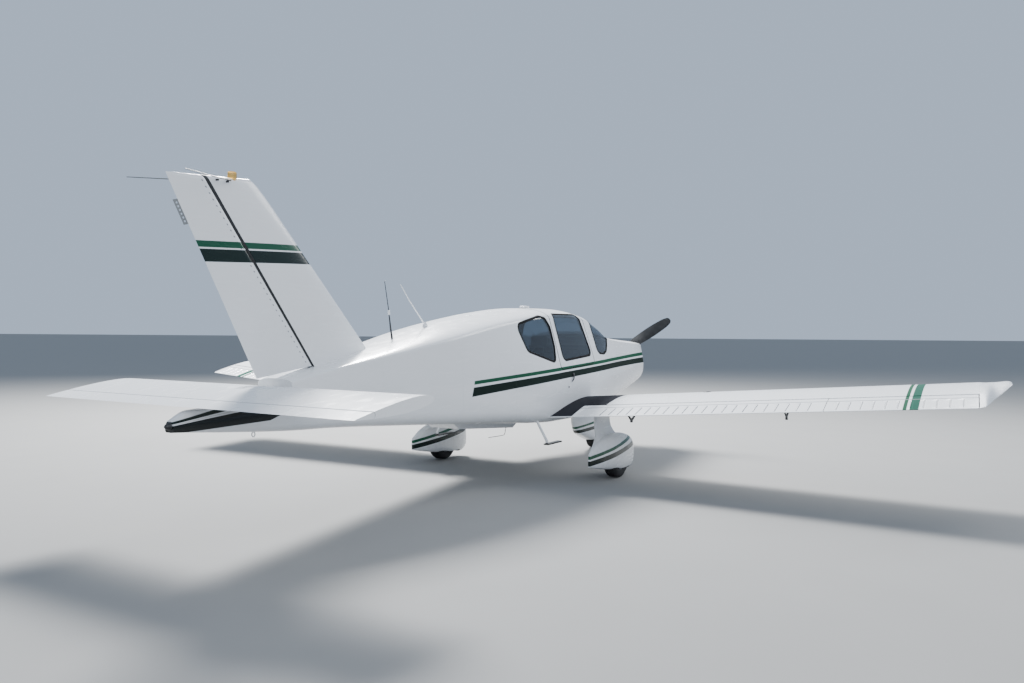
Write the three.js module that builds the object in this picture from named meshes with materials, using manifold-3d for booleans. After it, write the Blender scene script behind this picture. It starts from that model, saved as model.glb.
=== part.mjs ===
// Light aircraft: four-seat low-wing single with a fixed tricycle gear and gull-wing doors. Millimetres.
// The nose points along +X, the left wing along +Y, and Z is up from the ground. Inside this file every
// station is measured from the main axle, and the last lines put the whole machine over its origin.
import * as THREE from 'three';
import { mergeVertices } from 'three/addons/utils/BufferGeometryUtils.js';
import Module from 'manifold-3d';

const wasm = await Module();
wasm.setup();

// Driving dimensions
const ORIGIN_X = -952.5; // middle of the overall length, from the main axle
const SEAT = 0.35; // gap between pieces that rest on each other
const RUN = 8; // running gap of moving surfaces
const FAR = 6000; // longer than any piece, for cutting boxes

const HALF_TRACK = 1165;
const MAIN_TYRE_RADIUS = 220;
const MAIN_TYRE_WIDTH = 152;
const NOSE_WHEEL_X = 1960;
const NOSE_TYRE_RADIUS = 178;
const NOSE_TYRE_WIDTH = 125;
const MAIN_AXLE = 20;
const NOSE_AXLE = 15;

const FIREWALL_X = 1300;
const CABIN_REAR_X = -1200;
const BODY_REAR_X = -3860;
const CONE_END_X = -4790;
const TAIL_LIGHT_X = -4825;
const CABIN_WALL = 35;
const SKIN = 20;

const PROP_X = 2740;
const PROP_Z = 1275;
const PROP_RADIUS = 940;
const PROP_ANGLE = THREE.MathUtils.degToRad(32); // right-hand blade above the horizontal
const SPINNER_TIP_X = 2920;
const SPINNER_BASE_X = 2690;
const SPINNER_RADIUS = 150;
const COWL_SPLIT_Z = 1215;

const WING_LE_X = 630;
const WING_TE_X = -590;
const WING_TE_Z = 622; // at the centre plane, before the dihedral
const WING_INCIDENCE = THREE.MathUtils.degToRad(3.3);
const WING_THICKNESS = 0.165;
const WING_CAMBER = 0.016;
const DIHEDRAL = THREE.MathUtils.degToRad(4.5);
const WING_ROOT = 480;
const TIP_JOINT = 4655; // along the wing, like the next two
const FLAP_INNER = 908;
const FLAP_OUTER = 3425;
const SURFACE_AXIS_X = -250; // centre of the flap's and the aileron's round nose
const FLAP_HINGE_DROP = 118;

const STAB_LE_X = -3930;
const STAB_TE_X = -4724;
const STAB_TE_Z = 1070;
const STAB_INCIDENCE = THREE.MathUtils.degToRad(5.6); // as it is parked, nose up
const STAB_HALF = 1550;
const STAB_THICKNESS = 0.11;
const STAB_AXIS_X = -4150;
const TAB_AXIS_X = -4552;
const CONE_TOP_Z = 1040;

const HINGE_LOW = [-3462, 1304]; // rear edge of the fin in side view, x and z
const HINGE_HIGH = [-4484, 2648];

const WHITE = { color: 0xf2f4f5, roughness: 0.25, metalness: 0.05 };
const GREY = { color: 0x3c3f42, roughness: 0.45, metalness: 0.3 };
const STEEL = { color: 0x9a9da0, roughness: 0.4, metalness: 0.7 };
const IRON = { color: 0x55585a, roughness: 0.6, metalness: 0.6 };
const RUBBER = { color: 0x1b1b1c, roughness: 0.85, metalness: 0 };
const GLASS = { color: 0x37424a, roughness: 0.08, metalness: 0, transparent: true, opacity: 0.4 };
const LEATHER = { color: 0xb9ad98, roughness: 0.6, metalness: 0 };
const PANEL = { color: 0x26282a, roughness: 0.7, metalness: 0 };
const AMBER = { color: 0xd8862a, roughness: 0.3, metalness: 0 };

// Small geometry kit

// One closed solid through rings of the same number of points, with flat ends.
function loft(rings) {
  const count = rings[0].length;
  const vertices = rings.flat(2);
  const triangles = [];
  for (let ring = 0; ring + 1 < rings.length; ring += 1) {
    for (let i = 0; i < count; i += 1) {
      const a = ring * count + i;
      const b = ring * count + ((i + 1) % count);
      triangles.push([a, b, b + count], [a, b + count, a + count]);
    }
  }
  triangles.push(...capOf(rings[0], 0, true));
  triangles.push(...capOf(rings[rings.length - 1], (rings.length - 1) * count, false));
  return oriented(vertices, triangles);
}

// Triangles over one flat ring, seen along its widest direction, running the same way round as the ring.
function capOf(ring, first, reverse) {
  const normal = new THREE.Vector3();
  ring.forEach((p, i) => {
    const q = ring[(i + 1) % ring.length];
    normal.x += (p[1] - q[1]) * (p[2] + q[2]);
    normal.y += (p[2] - q[2]) * (p[0] + q[0]);
    normal.z += (p[0] - q[0]) * (p[1] + q[1]);
  });
  const size = [Math.abs(normal.x), Math.abs(normal.y), Math.abs(normal.z)];
  const [u, v] = [[1, 2], [2, 0], [0, 1]][size.indexOf(Math.max(...size))];
  const outline = ring.map((p) => new THREE.Vector2(p[u], p[v]));
  const ringTurn = Math.sign(THREE.ShapeUtils.area(outline));
  return THREE.ShapeUtils.triangulateShape(outline, []).map((face) => {
    const faceTurn = Math.sign(THREE.ShapeUtils.area(face.map((i) => outline[i])));
    const asRing = faceTurn === ringTurn ? face : [...face].reverse();
    const ordered = reverse ? [...asRing].reverse() : asRing;
    return ordered.map((i) => first + i);
  });
}

// A geometry whose faces point outwards.
function oriented(vertices, triangles) {
  const at = (i) => new THREE.Vector3(vertices[3 * i], vertices[3 * i + 1], vertices[3 * i + 2]);
  let volume = 0;
  triangles.forEach(([a, b, c]) => {
    volume += at(a).dot(at(b).cross(at(c)));
  });
  const faces = volume < 0 ? triangles.map(([a, b, c]) => [a, c, b]) : triangles;
  const geometry = new THREE.BufferGeometry();
  geometry.setAttribute('position', new THREE.BufferAttribute(new Float32Array(vertices), 3));
  geometry.setIndex(faces.flat());
  return geometry;
}

function solid(geometry) {
  const bare = geometry.clone();
  bare.deleteAttribute('normal');
  bare.deleteAttribute('uv');
  const merged = mergeVertices(bare, 1e-3);
  const index = merged.index.array;
  return new wasm.Manifold(new wasm.Mesh({
    numProp: 3,
    vertProperties: new Float32Array(merged.attributes.position.array),
    triVerts: new Uint32Array(index),
  }));
}

function geometryOf(manifold) {
  const mesh = manifold.getMesh();
  const geometry = new THREE.BufferGeometry();
  geometry.setAttribute('position', new THREE.BufferAttribute(new Float32Array(mesh.vertProperties), 3));
  geometry.setIndex([...mesh.triVerts]);
  return geometry;
}

function box(x0, x1, y0, y1, z0, z1) {
  const geometry = new THREE.BoxGeometry(Math.abs(x1 - x0), Math.abs(y1 - y0), Math.abs(z1 - z0));
  geometry.translate((x0 + x1) / 2, (y0 + y1) / 2, (z0 + z1) / 2);
  return solid(geometry);
}

// Round bar between two points, its ends cut square; the second radius makes it a cone.
function bar(from, to, radius, radiusEnd = radius, sides = 16) {
  const a = new THREE.Vector3(...from);
  const b = new THREE.Vector3(...to);
  const geometry = new THREE.CylinderGeometry(radiusEnd, radius, a.distanceTo(b), sides);
  const direction = b.clone().sub(a).normalize();
  const turn = new THREE.Quaternion().setFromUnitVectors(new THREE.Vector3(0, 1, 0), direction);
  geometry.applyQuaternion(turn);
  geometry.translate((a.x + b.x) / 2, (a.y + b.y) / 2, (a.z + b.z) / 2);
  return solid(geometry);
}

// Prism with a side-view outline of x and z, from y0 to y1.
function sideways(outline, y0, y1) {
  return solid(loft([y0, y1].map((y) => outline.map(([x, z]) => [x, y, z]))));
}

function union(first, ...others) {
  return others.reduce((sum, each) => sum.add(each), first);
}

// The same solid on the other side of the centre plane.
function mirrored(manifold) {
  return manifold.mirror([0, 1, 0]);
}

// Offsets a convex outline inwards by a distance.
function shrink(outline, distance) {
  const middle = outline.reduce((s, p) => [s[0] + p[0] / outline.length, s[1] + p[1] / outline.length], [0, 0]);
  const edges = outline.map((p, i) => {
    const q = outline[(i + 1) % outline.length];
    const length = Math.hypot(q[0] - p[0], q[1] - p[1]);
    let normal = [-(q[1] - p[1]) / length, (q[0] - p[0]) / length];
    if ((middle[0] - p[0]) * normal[0] + (middle[1] - p[1]) * normal[1] < 0) normal = [-normal[0], -normal[1]];
    return { normal, level: normal[0] * p[0] + normal[1] * p[1] + distance };
  });
  return edges.map((edge, i) => {
    const before = edges[(i + edges.length - 1) % edges.length];
    const det = before.normal[0] * edge.normal[1] - before.normal[1] * edge.normal[0];
    return [
      (before.level * edge.normal[1] - edge.level * before.normal[1]) / det,
      (before.normal[0] * edge.level - edge.normal[0] * before.level) / det,
    ];
  });
}

// Rounds the corners of an outline, as far as its edges are long enough.
function rounded(outline, radius, steps = 4) {
  return outline.flatMap((p, i) => {
    const corner = new THREE.Vector2(...p);
    const before = new THREE.Vector2(...outline[(i + outline.length - 1) % outline.length]).sub(corner);
    const after = new THREE.Vector2(...outline[(i + 1) % outline.length]).sub(corner);
    const opening = Math.acos(before.dot(after) / (before.length() * after.length()));
    const reach = Math.min(radius / Math.tan(opening / 2), 0.45 * before.length(), 0.45 * after.length());
    const from = before.setLength(reach).add(corner);
    const to = after.setLength(reach).add(corner);
    return new THREE.QuadraticBezierCurve(from, corner, to).getPoints(steps).map((v) => [v.x, v.y]);
  });
}

// One row of a table at a station between its rows, along smooth curves that don't overshoot them.
function smoothRow(table, x) {
  const last = table.length - 1;
  const below = table.findIndex((row) => row[0] <= x);
  const i = Math.min(Math.max((below < 0 ? last : below) - 1, 0), last - 1);
  const slope = (k, column) => (table[k + 1][column] - table[k][column]) / (table[k + 1][0] - table[k][0]);
  const tangent = (k, column) => {
    if (k === 0) return slope(0, column);
    if (k === last) return slope(last - 1, column);
    const [before, after] = [slope(k - 1, column), slope(k, column)];
    return before * after > 0 ? (2 * before * after) / (before + after) : 0;
  };
  const [a, b] = [table[i], table[i + 1]];
  const h = b[0] - a[0];
  const t = (x - a[0]) / h;
  return a.map((value, column) => {
    if (column === 0) return x;
    const rise = t * t * (3 - 2 * t) * (b[column] - value);
    const leaving = t * (1 - t) ** 2 * tangent(i, column);
    const arriving = t * t * (1 - t) * tangent(i + 1, column);
    return value + rise + h * (leaving - arriving);
  });
}

// Stations of a table with others evenly between them, none further apart than a pitch.
function stationsOf(table, pitch) {
  const between = table.slice(1).flatMap(([x], i) => {
    const from = table[i][0];
    const count = Math.ceil(Math.abs(from - x) / pitch);
    return Array.from({ length: count }, (_, k) => from + ((x - from) * k) / count);
  });
  return [...between, table[table.length - 1][0]];
}

// Fuselage and cowl

// Sections of the body. Columns: station, bottom, top, half width, height of the widest point,
// shoulder half width, shoulder height, radius of the lower corner
const BODY = [
  [2680, 1000, 1385, 300, 1190, 270, 1340, 100],
  [2668, 950, 1412, 352, 1188, 318, 1366, 130],
  [2640, 905, 1438, 398, 1187, 360, 1386, 160],
  [2580, 868, 1458, 440, 1185, 398, 1404, 190],
  [2250, 805, 1482, 490, 1160, 430, 1425, 225],
  [1300, 690, 1550, 592, 1090, 500, 1490, 200],
  [1000, 640, 1712, 630, 1085, 492, 1600, 170],
  [650, 605, 1832, 655, 1085, 468, 1712, 150],
  [250, 600, 1864, 665, 1085, 465, 1748, 140],
  [-350, 602, 1852, 660, 1085, 470, 1735, 140],
  [-800, 625, 1810, 638, 1090, 470, 1700, 140],
  [-1200, 660, 1757, 598, 1100, 466, 1650, 140],
  [-1900, 712, 1640, 512, 1110, 455, 1535, 130],
  [-2700, 768, 1462, 395, 1100, 362, 1405, 110],
  [-3450, 815, 1306, 268, 1070, 240, 1278, 80],
  [-3860, 830, 1222, 205, 1030, 180, 1190, 60],
  [-4400, 868, 1078, 105, 975, 85, 1042, 35],
  [-4670, 892, 1040, 60, 958, 48, 1012, 25],
  [-4790, 901, 985, 44, 943, 36, 960, 20],
];

const BODY_PITCH = 220; // greatest distance between two sections
const ROOF_FULLNESS = 0.6;

// Half of the body's outline at a station, from the middle of the belly over the left side to the roof.
function halfSection(x) {
  const [, bottom, top, half, wide, shoulder, shoulderZ, corner] = smoothRow(BODY, x);
  const lean = (shoulder - half) / (shoulderZ - wide);
  const eaves = shoulder + lean * (top - shoulderZ); // where the leaning side would meet the roof's height
  const rise = ROOF_FULLNESS * (top - shoulderZ);
  return new THREE.Path()
    .moveTo(0, bottom)
    .lineTo(half - corner, bottom)
    .quadraticCurveTo(half, bottom, half, bottom + corner)
    .bezierCurveTo(half, wide, half, wide, shoulder, shoulderZ)
    .bezierCurveTo(shoulder + lean * rise, shoulderZ + rise, ROOF_FULLNESS * eaves, top, 0, top)
    .getPoints(4);
}

// One ring of the body at a station, set in from the skin by a distance.
function bodyRing(x, inset) {
  const points = halfSection(x);
  const side = points.map((p, i) => {
    const before = i === 0 ? new THREE.Vector2(-p.x - 1, p.y) : points[i - 1];
    const after = i + 1 < points.length ? points[i + 1] : new THREE.Vector2(-1, p.y);
    const along = after.clone().sub(before).normalize();
    return [p.x - inset * along.y, p.y + inset * along.x];
  });
  side[0][0] = 0;
  side[side.length - 1][0] = 0;
  const other = side.slice(1, -1).reverse().map(([y, z]) => [-y, z]);
  return [...side, ...other].map(([y, z]) => [x, y, z]);
}

const BODY_STATIONS = stationsOf(BODY, BODY_PITCH);

// The body between two stations, set in from the skin; all such solids share their stations.
function bodyLoft(front, rear, inset = 0) {
  const first = BODY_STATIONS.findLastIndex((x) => x >= front);
  const last = BODY_STATIONS.findIndex((x) => x <= rear);
  const whole = solid(loft(BODY_STATIONS.slice(first, last + 1).map((x) => bodyRing(x, inset))));
  return whole.intersect(box(rear, front, -FAR, FAR, -FAR, FAR));
}

const wholeBody = bodyLoft(FIREWALL_X, BODY_REAR_X);
const bodyKeepOut = bodyLoft(FIREWALL_X + 200, BODY_REAR_X - 200, -SEAT);

// Openings in the cabin, in side view, x and z

const DOOR_OUTLINE = [[-280, 1166], [655, 1212], [560, 1990], [-280, 1990]];
const DOOR_WINDOW = [[-175, 1266], [602, 1316], [488, 1795], [-175, 1790]];
const SCREEN_OUTLINE = [
  [742, 1990], [800, 1376], [852, 1328], [1000, 1320], [1118, 1352], [1186, 1424], [1255, 1560], [1255, 1990],
];
const CORNER = 65; // radius of the openings' corners
const REAR_WINDOW = [
  [-1015, 1662], [-895, 1382], [-365, 1250], [-312, 1420], [-306, 1640], [-372, 1738], [-480, 1762],
];
const DOOR_GAP = 6;
const DOOR_HINGE = { y: 67, z: 1858, radius: 9, stations: [-30, 430] };
const GLASS_INSET = [4, 10];

function glassSheet() {
  const [outside, inside] = GLASS_INSET;
  const core = bodyLoft(FIREWALL_X + 50, CABIN_REAR_X - 50, inside);
  return bodyLoft(FIREWALL_X, CABIN_REAR_X, outside).subtract(core);
}

function cabinShell() {
  return wholeBody.intersect(box(CABIN_REAR_X, FIREWALL_X, -FAR, FAR, 0, FAR))
    .subtract(bodyLoft(FIREWALL_X - 30, CABIN_REAR_X + 30, CABIN_WALL));
}

// The left door's hinge: pins on the roof beam, and the lugs of the door that turn round them.
function doorHinge() {
  const { y, z, radius, stations } = DOOR_HINGE;
  const pin = (x, r, reach) => bar([x - reach, y, z], [x + reach, y, z], r);
  const pins = stations.map((x) => pin(x, radius, 30).add(box(x - 30, x + 30, 40, y - 5, 1832, z)));
  const lugs = stations.map((x) => box(x - 26, x + 26, y + 5, 115, 1832, z));
  const rooms = stations.map((x) => pin(x, radius + 2 * SEAT, 32));
  return { pins: union(...pins), lugs: union(...lugs), room: union(...rooms) };
}

function cabinPieces() {
  const shell = cabinShell();
  const sheet = glassSheet();
  const hinge = doorHinge();
  const doorEdge = DOOR_HINGE.y + DOOR_HINGE.radius;
  const doorOutline = rounded(shrink(DOOR_OUTLINE, DOOR_GAP), CORNER - DOOR_GAP);
  const doorLeft = shell.intersect(sideways(doorOutline, doorEdge, FAR))
    .subtract(sideways(rounded(DOOR_WINDOW, CORNER), doorEdge, FAR))
    .add(hinge.lugs)
    .subtract(hinge.room);
  const doorCut = sideways(rounded(DOOR_OUTLINE, CORNER), doorEdge - 12, FAR);
  const rearCut = sideways(rounded(REAR_WINDOW, CORNER), 200, FAR);
  const ventBox = box(-60, 40, -40, 40, 1855, 1890);
  const cabin = union(shell, ventBox)
    .subtract(doorCut)
    .subtract(mirrored(doorCut))
    .subtract(rearCut)
    .subtract(mirrored(rearCut))
    .subtract(sideways(rounded(SCREEN_OUTLINE, CORNER), -FAR, FAR))
    .add(hinge.pins)
    .add(mirrored(hinge.pins));
  const doorGlass = sheet.intersect(sideways(rounded(shrink(DOOR_WINDOW, SEAT), CORNER - SEAT), 200, FAR));
  const rearGlass = sheet.intersect(sideways(rounded(shrink(REAR_WINDOW, SEAT), CORNER - SEAT), 200, FAR));
  const screen = sheet.intersect(sideways(rounded(shrink(SCREEN_OUTLINE, SEAT), CORNER - SEAT), -FAR, FAR));
  return { cabin, doorLeft, doorGlass, rearGlass, screen };
}

// Prism along X with a rounded outline about a centre of y and z.
function sideOn(x0, x1, y, z, halfY, halfZ) {
  const corners = [[-halfY, -halfZ], [halfY, -halfZ], [halfY, halfZ], [-halfY, halfZ]];
  const outline = rounded(corners, 0.9 * Math.min(halfY, halfZ));
  return solid(loft([x0, x1].map((x) => outline.map(([dy, dz]) => [x, y + dy, z + dz]))));
}

function cowlPieces() {
  const wall = SKIN;
  const front = BODY[0][0];
  const shell = bodyLoft(front, FIREWALL_X + SEAT).subtract(bodyLoft(front - wall, FIREWALL_X - 50, wall));
  const shaftHole = bar([front - 200, 0, PROP_Z], [front + 200, 0, PROP_Z], 70);
  const inlet = sideOn(front - 200, front + 50, 235, PROP_Z - 15, 66, 58);
  const chinIntake = sideOn(front - 220, front + 50, 0, 1085, 110, 36);
  const outlet = box(FIREWALL_X + 60, FIREWALL_X + 320, -190, 190, 600, 900);
  const legHole = box(NOSE_WHEEL_X - 60, NOSE_WHEEL_X + 60, -60, 60, 600, 900);
  const open = shell.subtract(shaftHole).subtract(inlet).subtract(mirrored(inlet)).subtract(chinIntake)
    .subtract(outlet)
    .subtract(legHole);
  return {
    upper: open.intersect(box(-FAR, FAR, -FAR, FAR, COWL_SPLIT_Z + SEAT, FAR)),
    lower: open.intersect(box(-FAR, FAR, -FAR, FAR, 0, COWL_SPLIT_Z)),
  };
}

// Engine, propeller

const ENGINE = { rear: 1420, front: 2330, half: 380, bottom: 1000, top: 1395 };

function engineBlock() {
  return box(ENGINE.rear, ENGINE.front, -ENGINE.half, ENGINE.half, ENGINE.bottom, ENGINE.top);
}

function exhaustPipe() {
  const top = [1470, -110, ENGINE.bottom - SEAT];
  const bend = [1470, -110, 830];
  return union(bar(top, bend, 32), bar([bend[0], bend[1], bend[2] + 12], [1400, -110, 640], 32));
}

// Turned body about the line y = 0, z = PROP_Z, from a list of [x, radius].
function turnedAlongX(profile, segments = 24) {
  const geometry = new THREE.LatheGeometry(profile.map(([x, r]) => new THREE.Vector2(r, x)), segments);
  geometry.rotateZ(-Math.PI / 2);
  geometry.translate(0, 0, PROP_Z);
  return solid(geometry);
}

function spinner() {
  const length = SPINNER_TIP_X - SPINNER_BASE_X;
  const profile = [[SPINNER_BASE_X, 0], [SPINNER_BASE_X, SPINNER_RADIUS]];
  [20, 40, 60, 75].forEach((degrees) => {
    const angle = THREE.MathUtils.degToRad(degrees);
    profile.push([SPINNER_BASE_X + length * Math.sin(angle), SPINNER_RADIUS * Math.cos(angle) ** 0.8]);
  });
  profile.push([SPINNER_TIP_X, 0]);
  return turnedAlongX(profile).subtract(propeller(SEAT));
}

// Blade sections. Columns: radius, chord, thickness, pitch in degrees
const BLADE = [
  [60, 90, 60, 50],
  [200, 100, 42, 42],
  [360, 138, 24, 32],
  [600, 150, 15, 23],
  [820, 128, 10, 18],
  [920, 84, 7, 16],
  [PROP_RADIUS, 36, 5, 16],
];

// Two blades and the hub with its shaft; grown by a distance where it cuts its room in the spinner.
function propeller(grow = 0) {
  const blade = solid(loft(BLADE.map(([radius, chord, thickness, pitch]) => {
    const angle = THREE.MathUtils.degToRad(pitch);
    const ring = [];
    for (let i = 0; i < 10; i += 1) {
      const turn = (2 * Math.PI * i) / 10;
      const along = (chord / 2 + grow) * Math.cos(turn);
      const across = (thickness / 2 + grow) * Math.sin(turn);
      const forward = across * Math.cos(angle) + along * Math.sin(angle);
      const tangent = along * Math.cos(angle) - across * Math.sin(angle);
      ring.push([PROP_X + forward, -tangent, radius]);
    }
    return ring;
  })));
  const both = union(blade, blade.rotate([180, 0, 0]));
  const degrees = 90 - THREE.MathUtils.radToDeg(PROP_ANGLE);
  const turned = both.rotate([degrees, 0, 0]).translate([0, 0, PROP_Z]);
  const hub = bar([PROP_X - 45 - grow, 0, PROP_Z], [PROP_X + 45 + grow, 0, PROP_Z], 75 + grow);
  const shaft = bar([ENGINE.front + SEAT - grow, 0, PROP_Z], [PROP_X, 0, PROP_Z], 45 + grow);
  return union(hub, turned, shaft);
}

// Wings in their own flat frame, then tilted by the dihedral

// Upper or lower surface height over the chord line, both as fractions of the chord.
function aerofoilHeight(fraction, thickness, camber, sign) {
  const shape = 0.2969 * Math.sqrt(fraction) - 0.126 * fraction - 0.3516 * fraction ** 2
    + 0.2843 * fraction ** 3 - 0.1015 * fraction ** 4;
  return 4 * camber * fraction * (1 - fraction) + sign * 5 * thickness * shape;
}

const CHORD_COUNT = 12;
const CHORD_STEPS = Array.from(
  { length: CHORD_COUNT + 1 },
  (_, i) => (1 - Math.cos((Math.PI * i) / CHORD_COUNT)) / 2,
);

// Ring of an aerofoil across the span at one place, from its leading edge's x and z.
function aerofoilRing(span, leading, trailing, z, thickness, camber, incidence = 0) {
  const chord = leading - trailing;
  const point = (fraction, sign) => {
    const along = fraction * chord;
    const up = aerofoilHeight(fraction, thickness, camber, sign) * chord;
    return [leading - along, span, z + up + (chord - along) * Math.tan(incidence)];
  };
  const upper = CHORD_STEPS.map((f) => point(f, 1));
  const lower = CHORD_STEPS.slice(1).reverse().map((f) => point(f, -1));
  return [...upper, ...lower];
}

function tilted(manifold) {
  return manifold.translate([0, 0, -WING_TE_Z])
    .rotate([THREE.MathUtils.radToDeg(DIHEDRAL), 0, 0])
    .translate([0, 0, WING_TE_Z]);
}

function wingSection(span) {
  return aerofoilRing(span, WING_LE_X, WING_TE_X, WING_TE_Z, WING_THICKNESS, WING_CAMBER, WING_INCIDENCE);
}

// Height of the wing's chord line and half thickness at a station, in the flat frame.
function wingAt(x) {
  const chord = WING_LE_X - WING_TE_X;
  const fraction = (WING_LE_X - x) / chord;
  const base = WING_TE_Z + (x - WING_TE_X) * Math.tan(WING_INCIDENCE);
  const up = aerofoilHeight(fraction, WING_THICKNESS, WING_CAMBER, 1) * chord;
  const down = aerofoilHeight(fraction, WING_THICKNESS, WING_CAMBER, -1) * chord;
  return { top: base + up, bottom: base + down, middle: base + (up + down) / 2, half: (up - down) / 2 };
}

const FLAP_STATIONS = [1440, 3030];
const AILERON_STATIONS = [3620, 4450];
const COVE_X = SURFACE_AXIS_X + wingAt(SURFACE_AXIS_X).half + RUN;
const FLAP_AXIS_Z = wingAt(SURFACE_AXIS_X).middle - FLAP_HINGE_DROP;

// A trailing surface between two span stations: the wing's own tail end with a round nose.
function trailingSurface(inner, outer) {
  const { middle, half } = wingAt(SURFACE_AXIS_X);
  const tail = solid(loft([wingSection(inner), wingSection(outer)]))
    .intersect(box(-FAR, SURFACE_AXIS_X, -FAR, FAR, -FAR, FAR));
  const radius = half - 1;
  return tail.add(bar([SURFACE_AXIS_X, inner, middle], [SURFACE_AXIS_X, outer, middle], radius, radius, 24));
}

function wingPieces() {
  const whole = solid(loft([wingSection(WING_ROOT), wingSection(TIP_JOINT)]));
  const bay = box(-FAR, COVE_X, FLAP_INNER - RUN, TIP_JOINT + 50, -FAR, FAR);
  const { middle, half } = wingAt(SURFACE_AXIS_X);
  // blocks that carry the aileron's nose
  const blocks = AILERON_STATIONS.map((y) => box(SURFACE_AXIS_X + half - 1 + SEAT, COVE_X + 30, y - 20, y + 20,
    middle - 12, middle + 12));
  // lugs below the wing that carry the flap
  const lugs = FLAP_STATIONS.map((y) => sideways([
    [COVE_X + 90, wingAt(COVE_X + 90).bottom + 12],
    [COVE_X + 5, wingAt(COVE_X + 5).bottom + 12],
    [SURFACE_AXIS_X - 22, FLAP_AXIS_Z + 12],
    [SURFACE_AXIS_X - 10, FLAP_AXIS_Z - 22],
    [SURFACE_AXIS_X + 22, FLAP_AXIS_Z - 18],
  ], y - 5, y + 5));
  const tieDown = bar([180, 2200, wingAt(180).bottom - 28], [180, 2200, wingAt(180).bottom + 20], 22);
  const wing = tilted(union(whole.subtract(bay), ...blocks, ...lugs, tieDown)).subtract(bodyKeepOut);

  const flapArms = FLAP_STATIONS.map((y) => sideways([
    [SURFACE_AXIS_X - 150, wingAt(SURFACE_AXIS_X - 150).bottom + 8],
    [SURFACE_AXIS_X - 30, wingAt(SURFACE_AXIS_X - 30).bottom + 8],
    [SURFACE_AXIS_X + 18, FLAP_AXIS_Z + 6],
    [SURFACE_AXIS_X + 8, FLAP_AXIS_Z - 20],
    [SURFACE_AXIS_X - 18, FLAP_AXIS_Z - 14],
  ], y + 5 + SEAT, y + 15));
  const flap = tilted(union(trailingSurface(FLAP_INNER, FLAP_OUTER), ...flapArms));
  const aileron = tilted(trailingSurface(FLAP_OUTER + RUN, TIP_JOINT - RUN));

  // Tip sections. Columns: span, leading edge, trailing edge, thickness factor, rise of the lower line
  const tipRows = [
    [TIP_JOINT + SEAT, WING_LE_X, WING_TE_X, 1, 0],
    [4700, WING_LE_X, -520, 0.96, 4],
    [4770, 628, -130, 1.12, 20],
    [4860, 612, 210, 1.2, 52],
    [4910, 585, 400, 1, 74],
  ];
  const tip = tilted(solid(loft(tipRows.map(([span, le, te, factor, rise]) => aerofoilRing(
    span, le, te, WING_TE_Z + (te - WING_TE_X) * Math.tan(WING_INCIDENCE) + rise,
    WING_THICKNESS * factor, WING_CAMBER, WING_INCIDENCE,
  )))));
  return { whole: tilted(whole), wing, flap, aileron, tip };
}

// Tail

// Vertical tail sections. Columns: height, leading edge, trailing edge, thickness
const FIN_ROWS = [
  [1100, -2473, -3960, 96],
  [1500, -2893, -4182, 88],
  [2600, -4047, -4794, 52],
  [2720, -4190, -4860, 46],
];

function tailPieces() {
  const whole = solid(loft(FIN_ROWS.map(([z, le, te, thick]) => {
    const chord = le - te;
    return aerofoilRing(0, le, te, 0, thick / chord, 0).map(([x, , up]) => [x, up, z]);
  })));
  const [lx, lz] = HINGE_LOW;
  const [hx, hz] = HINGE_HIGH;
  const length = Math.hypot(hx - lx, hz - lz);
  const along = [(hx - lx) / length, (hz - lz) / length];
  const back = [-along[1], along[0]]; // square to the hinge line, towards the tail
  const at = (t, d) => [lx + along[0] * t + back[0] * d, lz + along[1] * t + back[1] * d];
  const noseRadius = [40, 23];
  const axisBack = 48;
  const topCut = [[-4000, 2705], [-4814, 2637], [-5200, 2605], [-5200, 4000], [-4000, 4000]];
  const capped = whole.subtract(sideways(topCut, -FAR, FAR));
  const ahead = sideways([at(-500, 0), at(2500, 0), at(2500, -2500), at(-500, -2500)], -FAR, FAR);
  const behind = sideways([at(8, axisBack), at(2500, axisBack), at(2500, 2500), at(8, 2500)], -FAR, FAR);
  // the rudder's lower edge runs down to its trailing corner
  const under = [[-3300, 1338], [-4300, 1188], [-4300, 600], [-3300, 600]];
  const stock = capped.intersect(behind).subtract(sideways(under, -FAR, FAR));
  const foot = at(40, axisBack);
  const head = at(length - 30, axisBack);
  const nose = bar([foot[0], 0, foot[1]], [head[0], 0, head[1]], noseRadius[0] - 2, noseRadius[1] - 1, 20);
  const rudder = union(stock, nose).subtract(bodyLoft(FIREWALL_X, BODY_REAR_X - 200, -RUN));
  const blocks = [260, 1300].map((t) => {
    const radius = noseRadius[0] - 2 + ((t - 40) / (length - 70)) * (noseRadius[1] - noseRadius[0] + 1);
    return sideways([
      at(t - 30, -20), at(t + 30, -20), at(t + 30, axisBack - radius - 1), at(t - 30, axisBack - radius - 1),
    ], -9, 9);
  });
  const fin = union(capped.intersect(ahead), ...blocks, ...navAntenna()).subtract(bodyKeepOut);
  const beacon = bar([-4280, 0, 2660], [-4280, 0, 2742], 34, 26).subtract(capped.translate([0, 0, SEAT]));
  return { fin, rudder, beacon };
}

// Two rods of the antenna that lies across the fin's top.
function navAntenna() {
  const root = [-4330, 0, 2650];
  return [1, -1].flatMap((side) => [
    bar([root[0] - 10, 0, root[2]], [root[0], side * 60, root[2]], 7, 7, 8),
    bar([root[0] + 5, side * 47, root[2]], [root[0] - 487, side * 260, root[2] - 31], 6, 4, 8),
  ]);
}

// Height of the tailplane's chord line at a station.
function stabZ(x) {
  return STAB_TE_Z + (x - STAB_TE_X) * Math.tan(STAB_INCIDENCE);
}

// Tailplane tip. Columns: distance in from the tip, set-back of the leading edge, of the trailing edge,
// thickness factor
const STAB_TIP = [[0, 10, 0, 0.93], [8, 0, 0, 1]];

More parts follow.
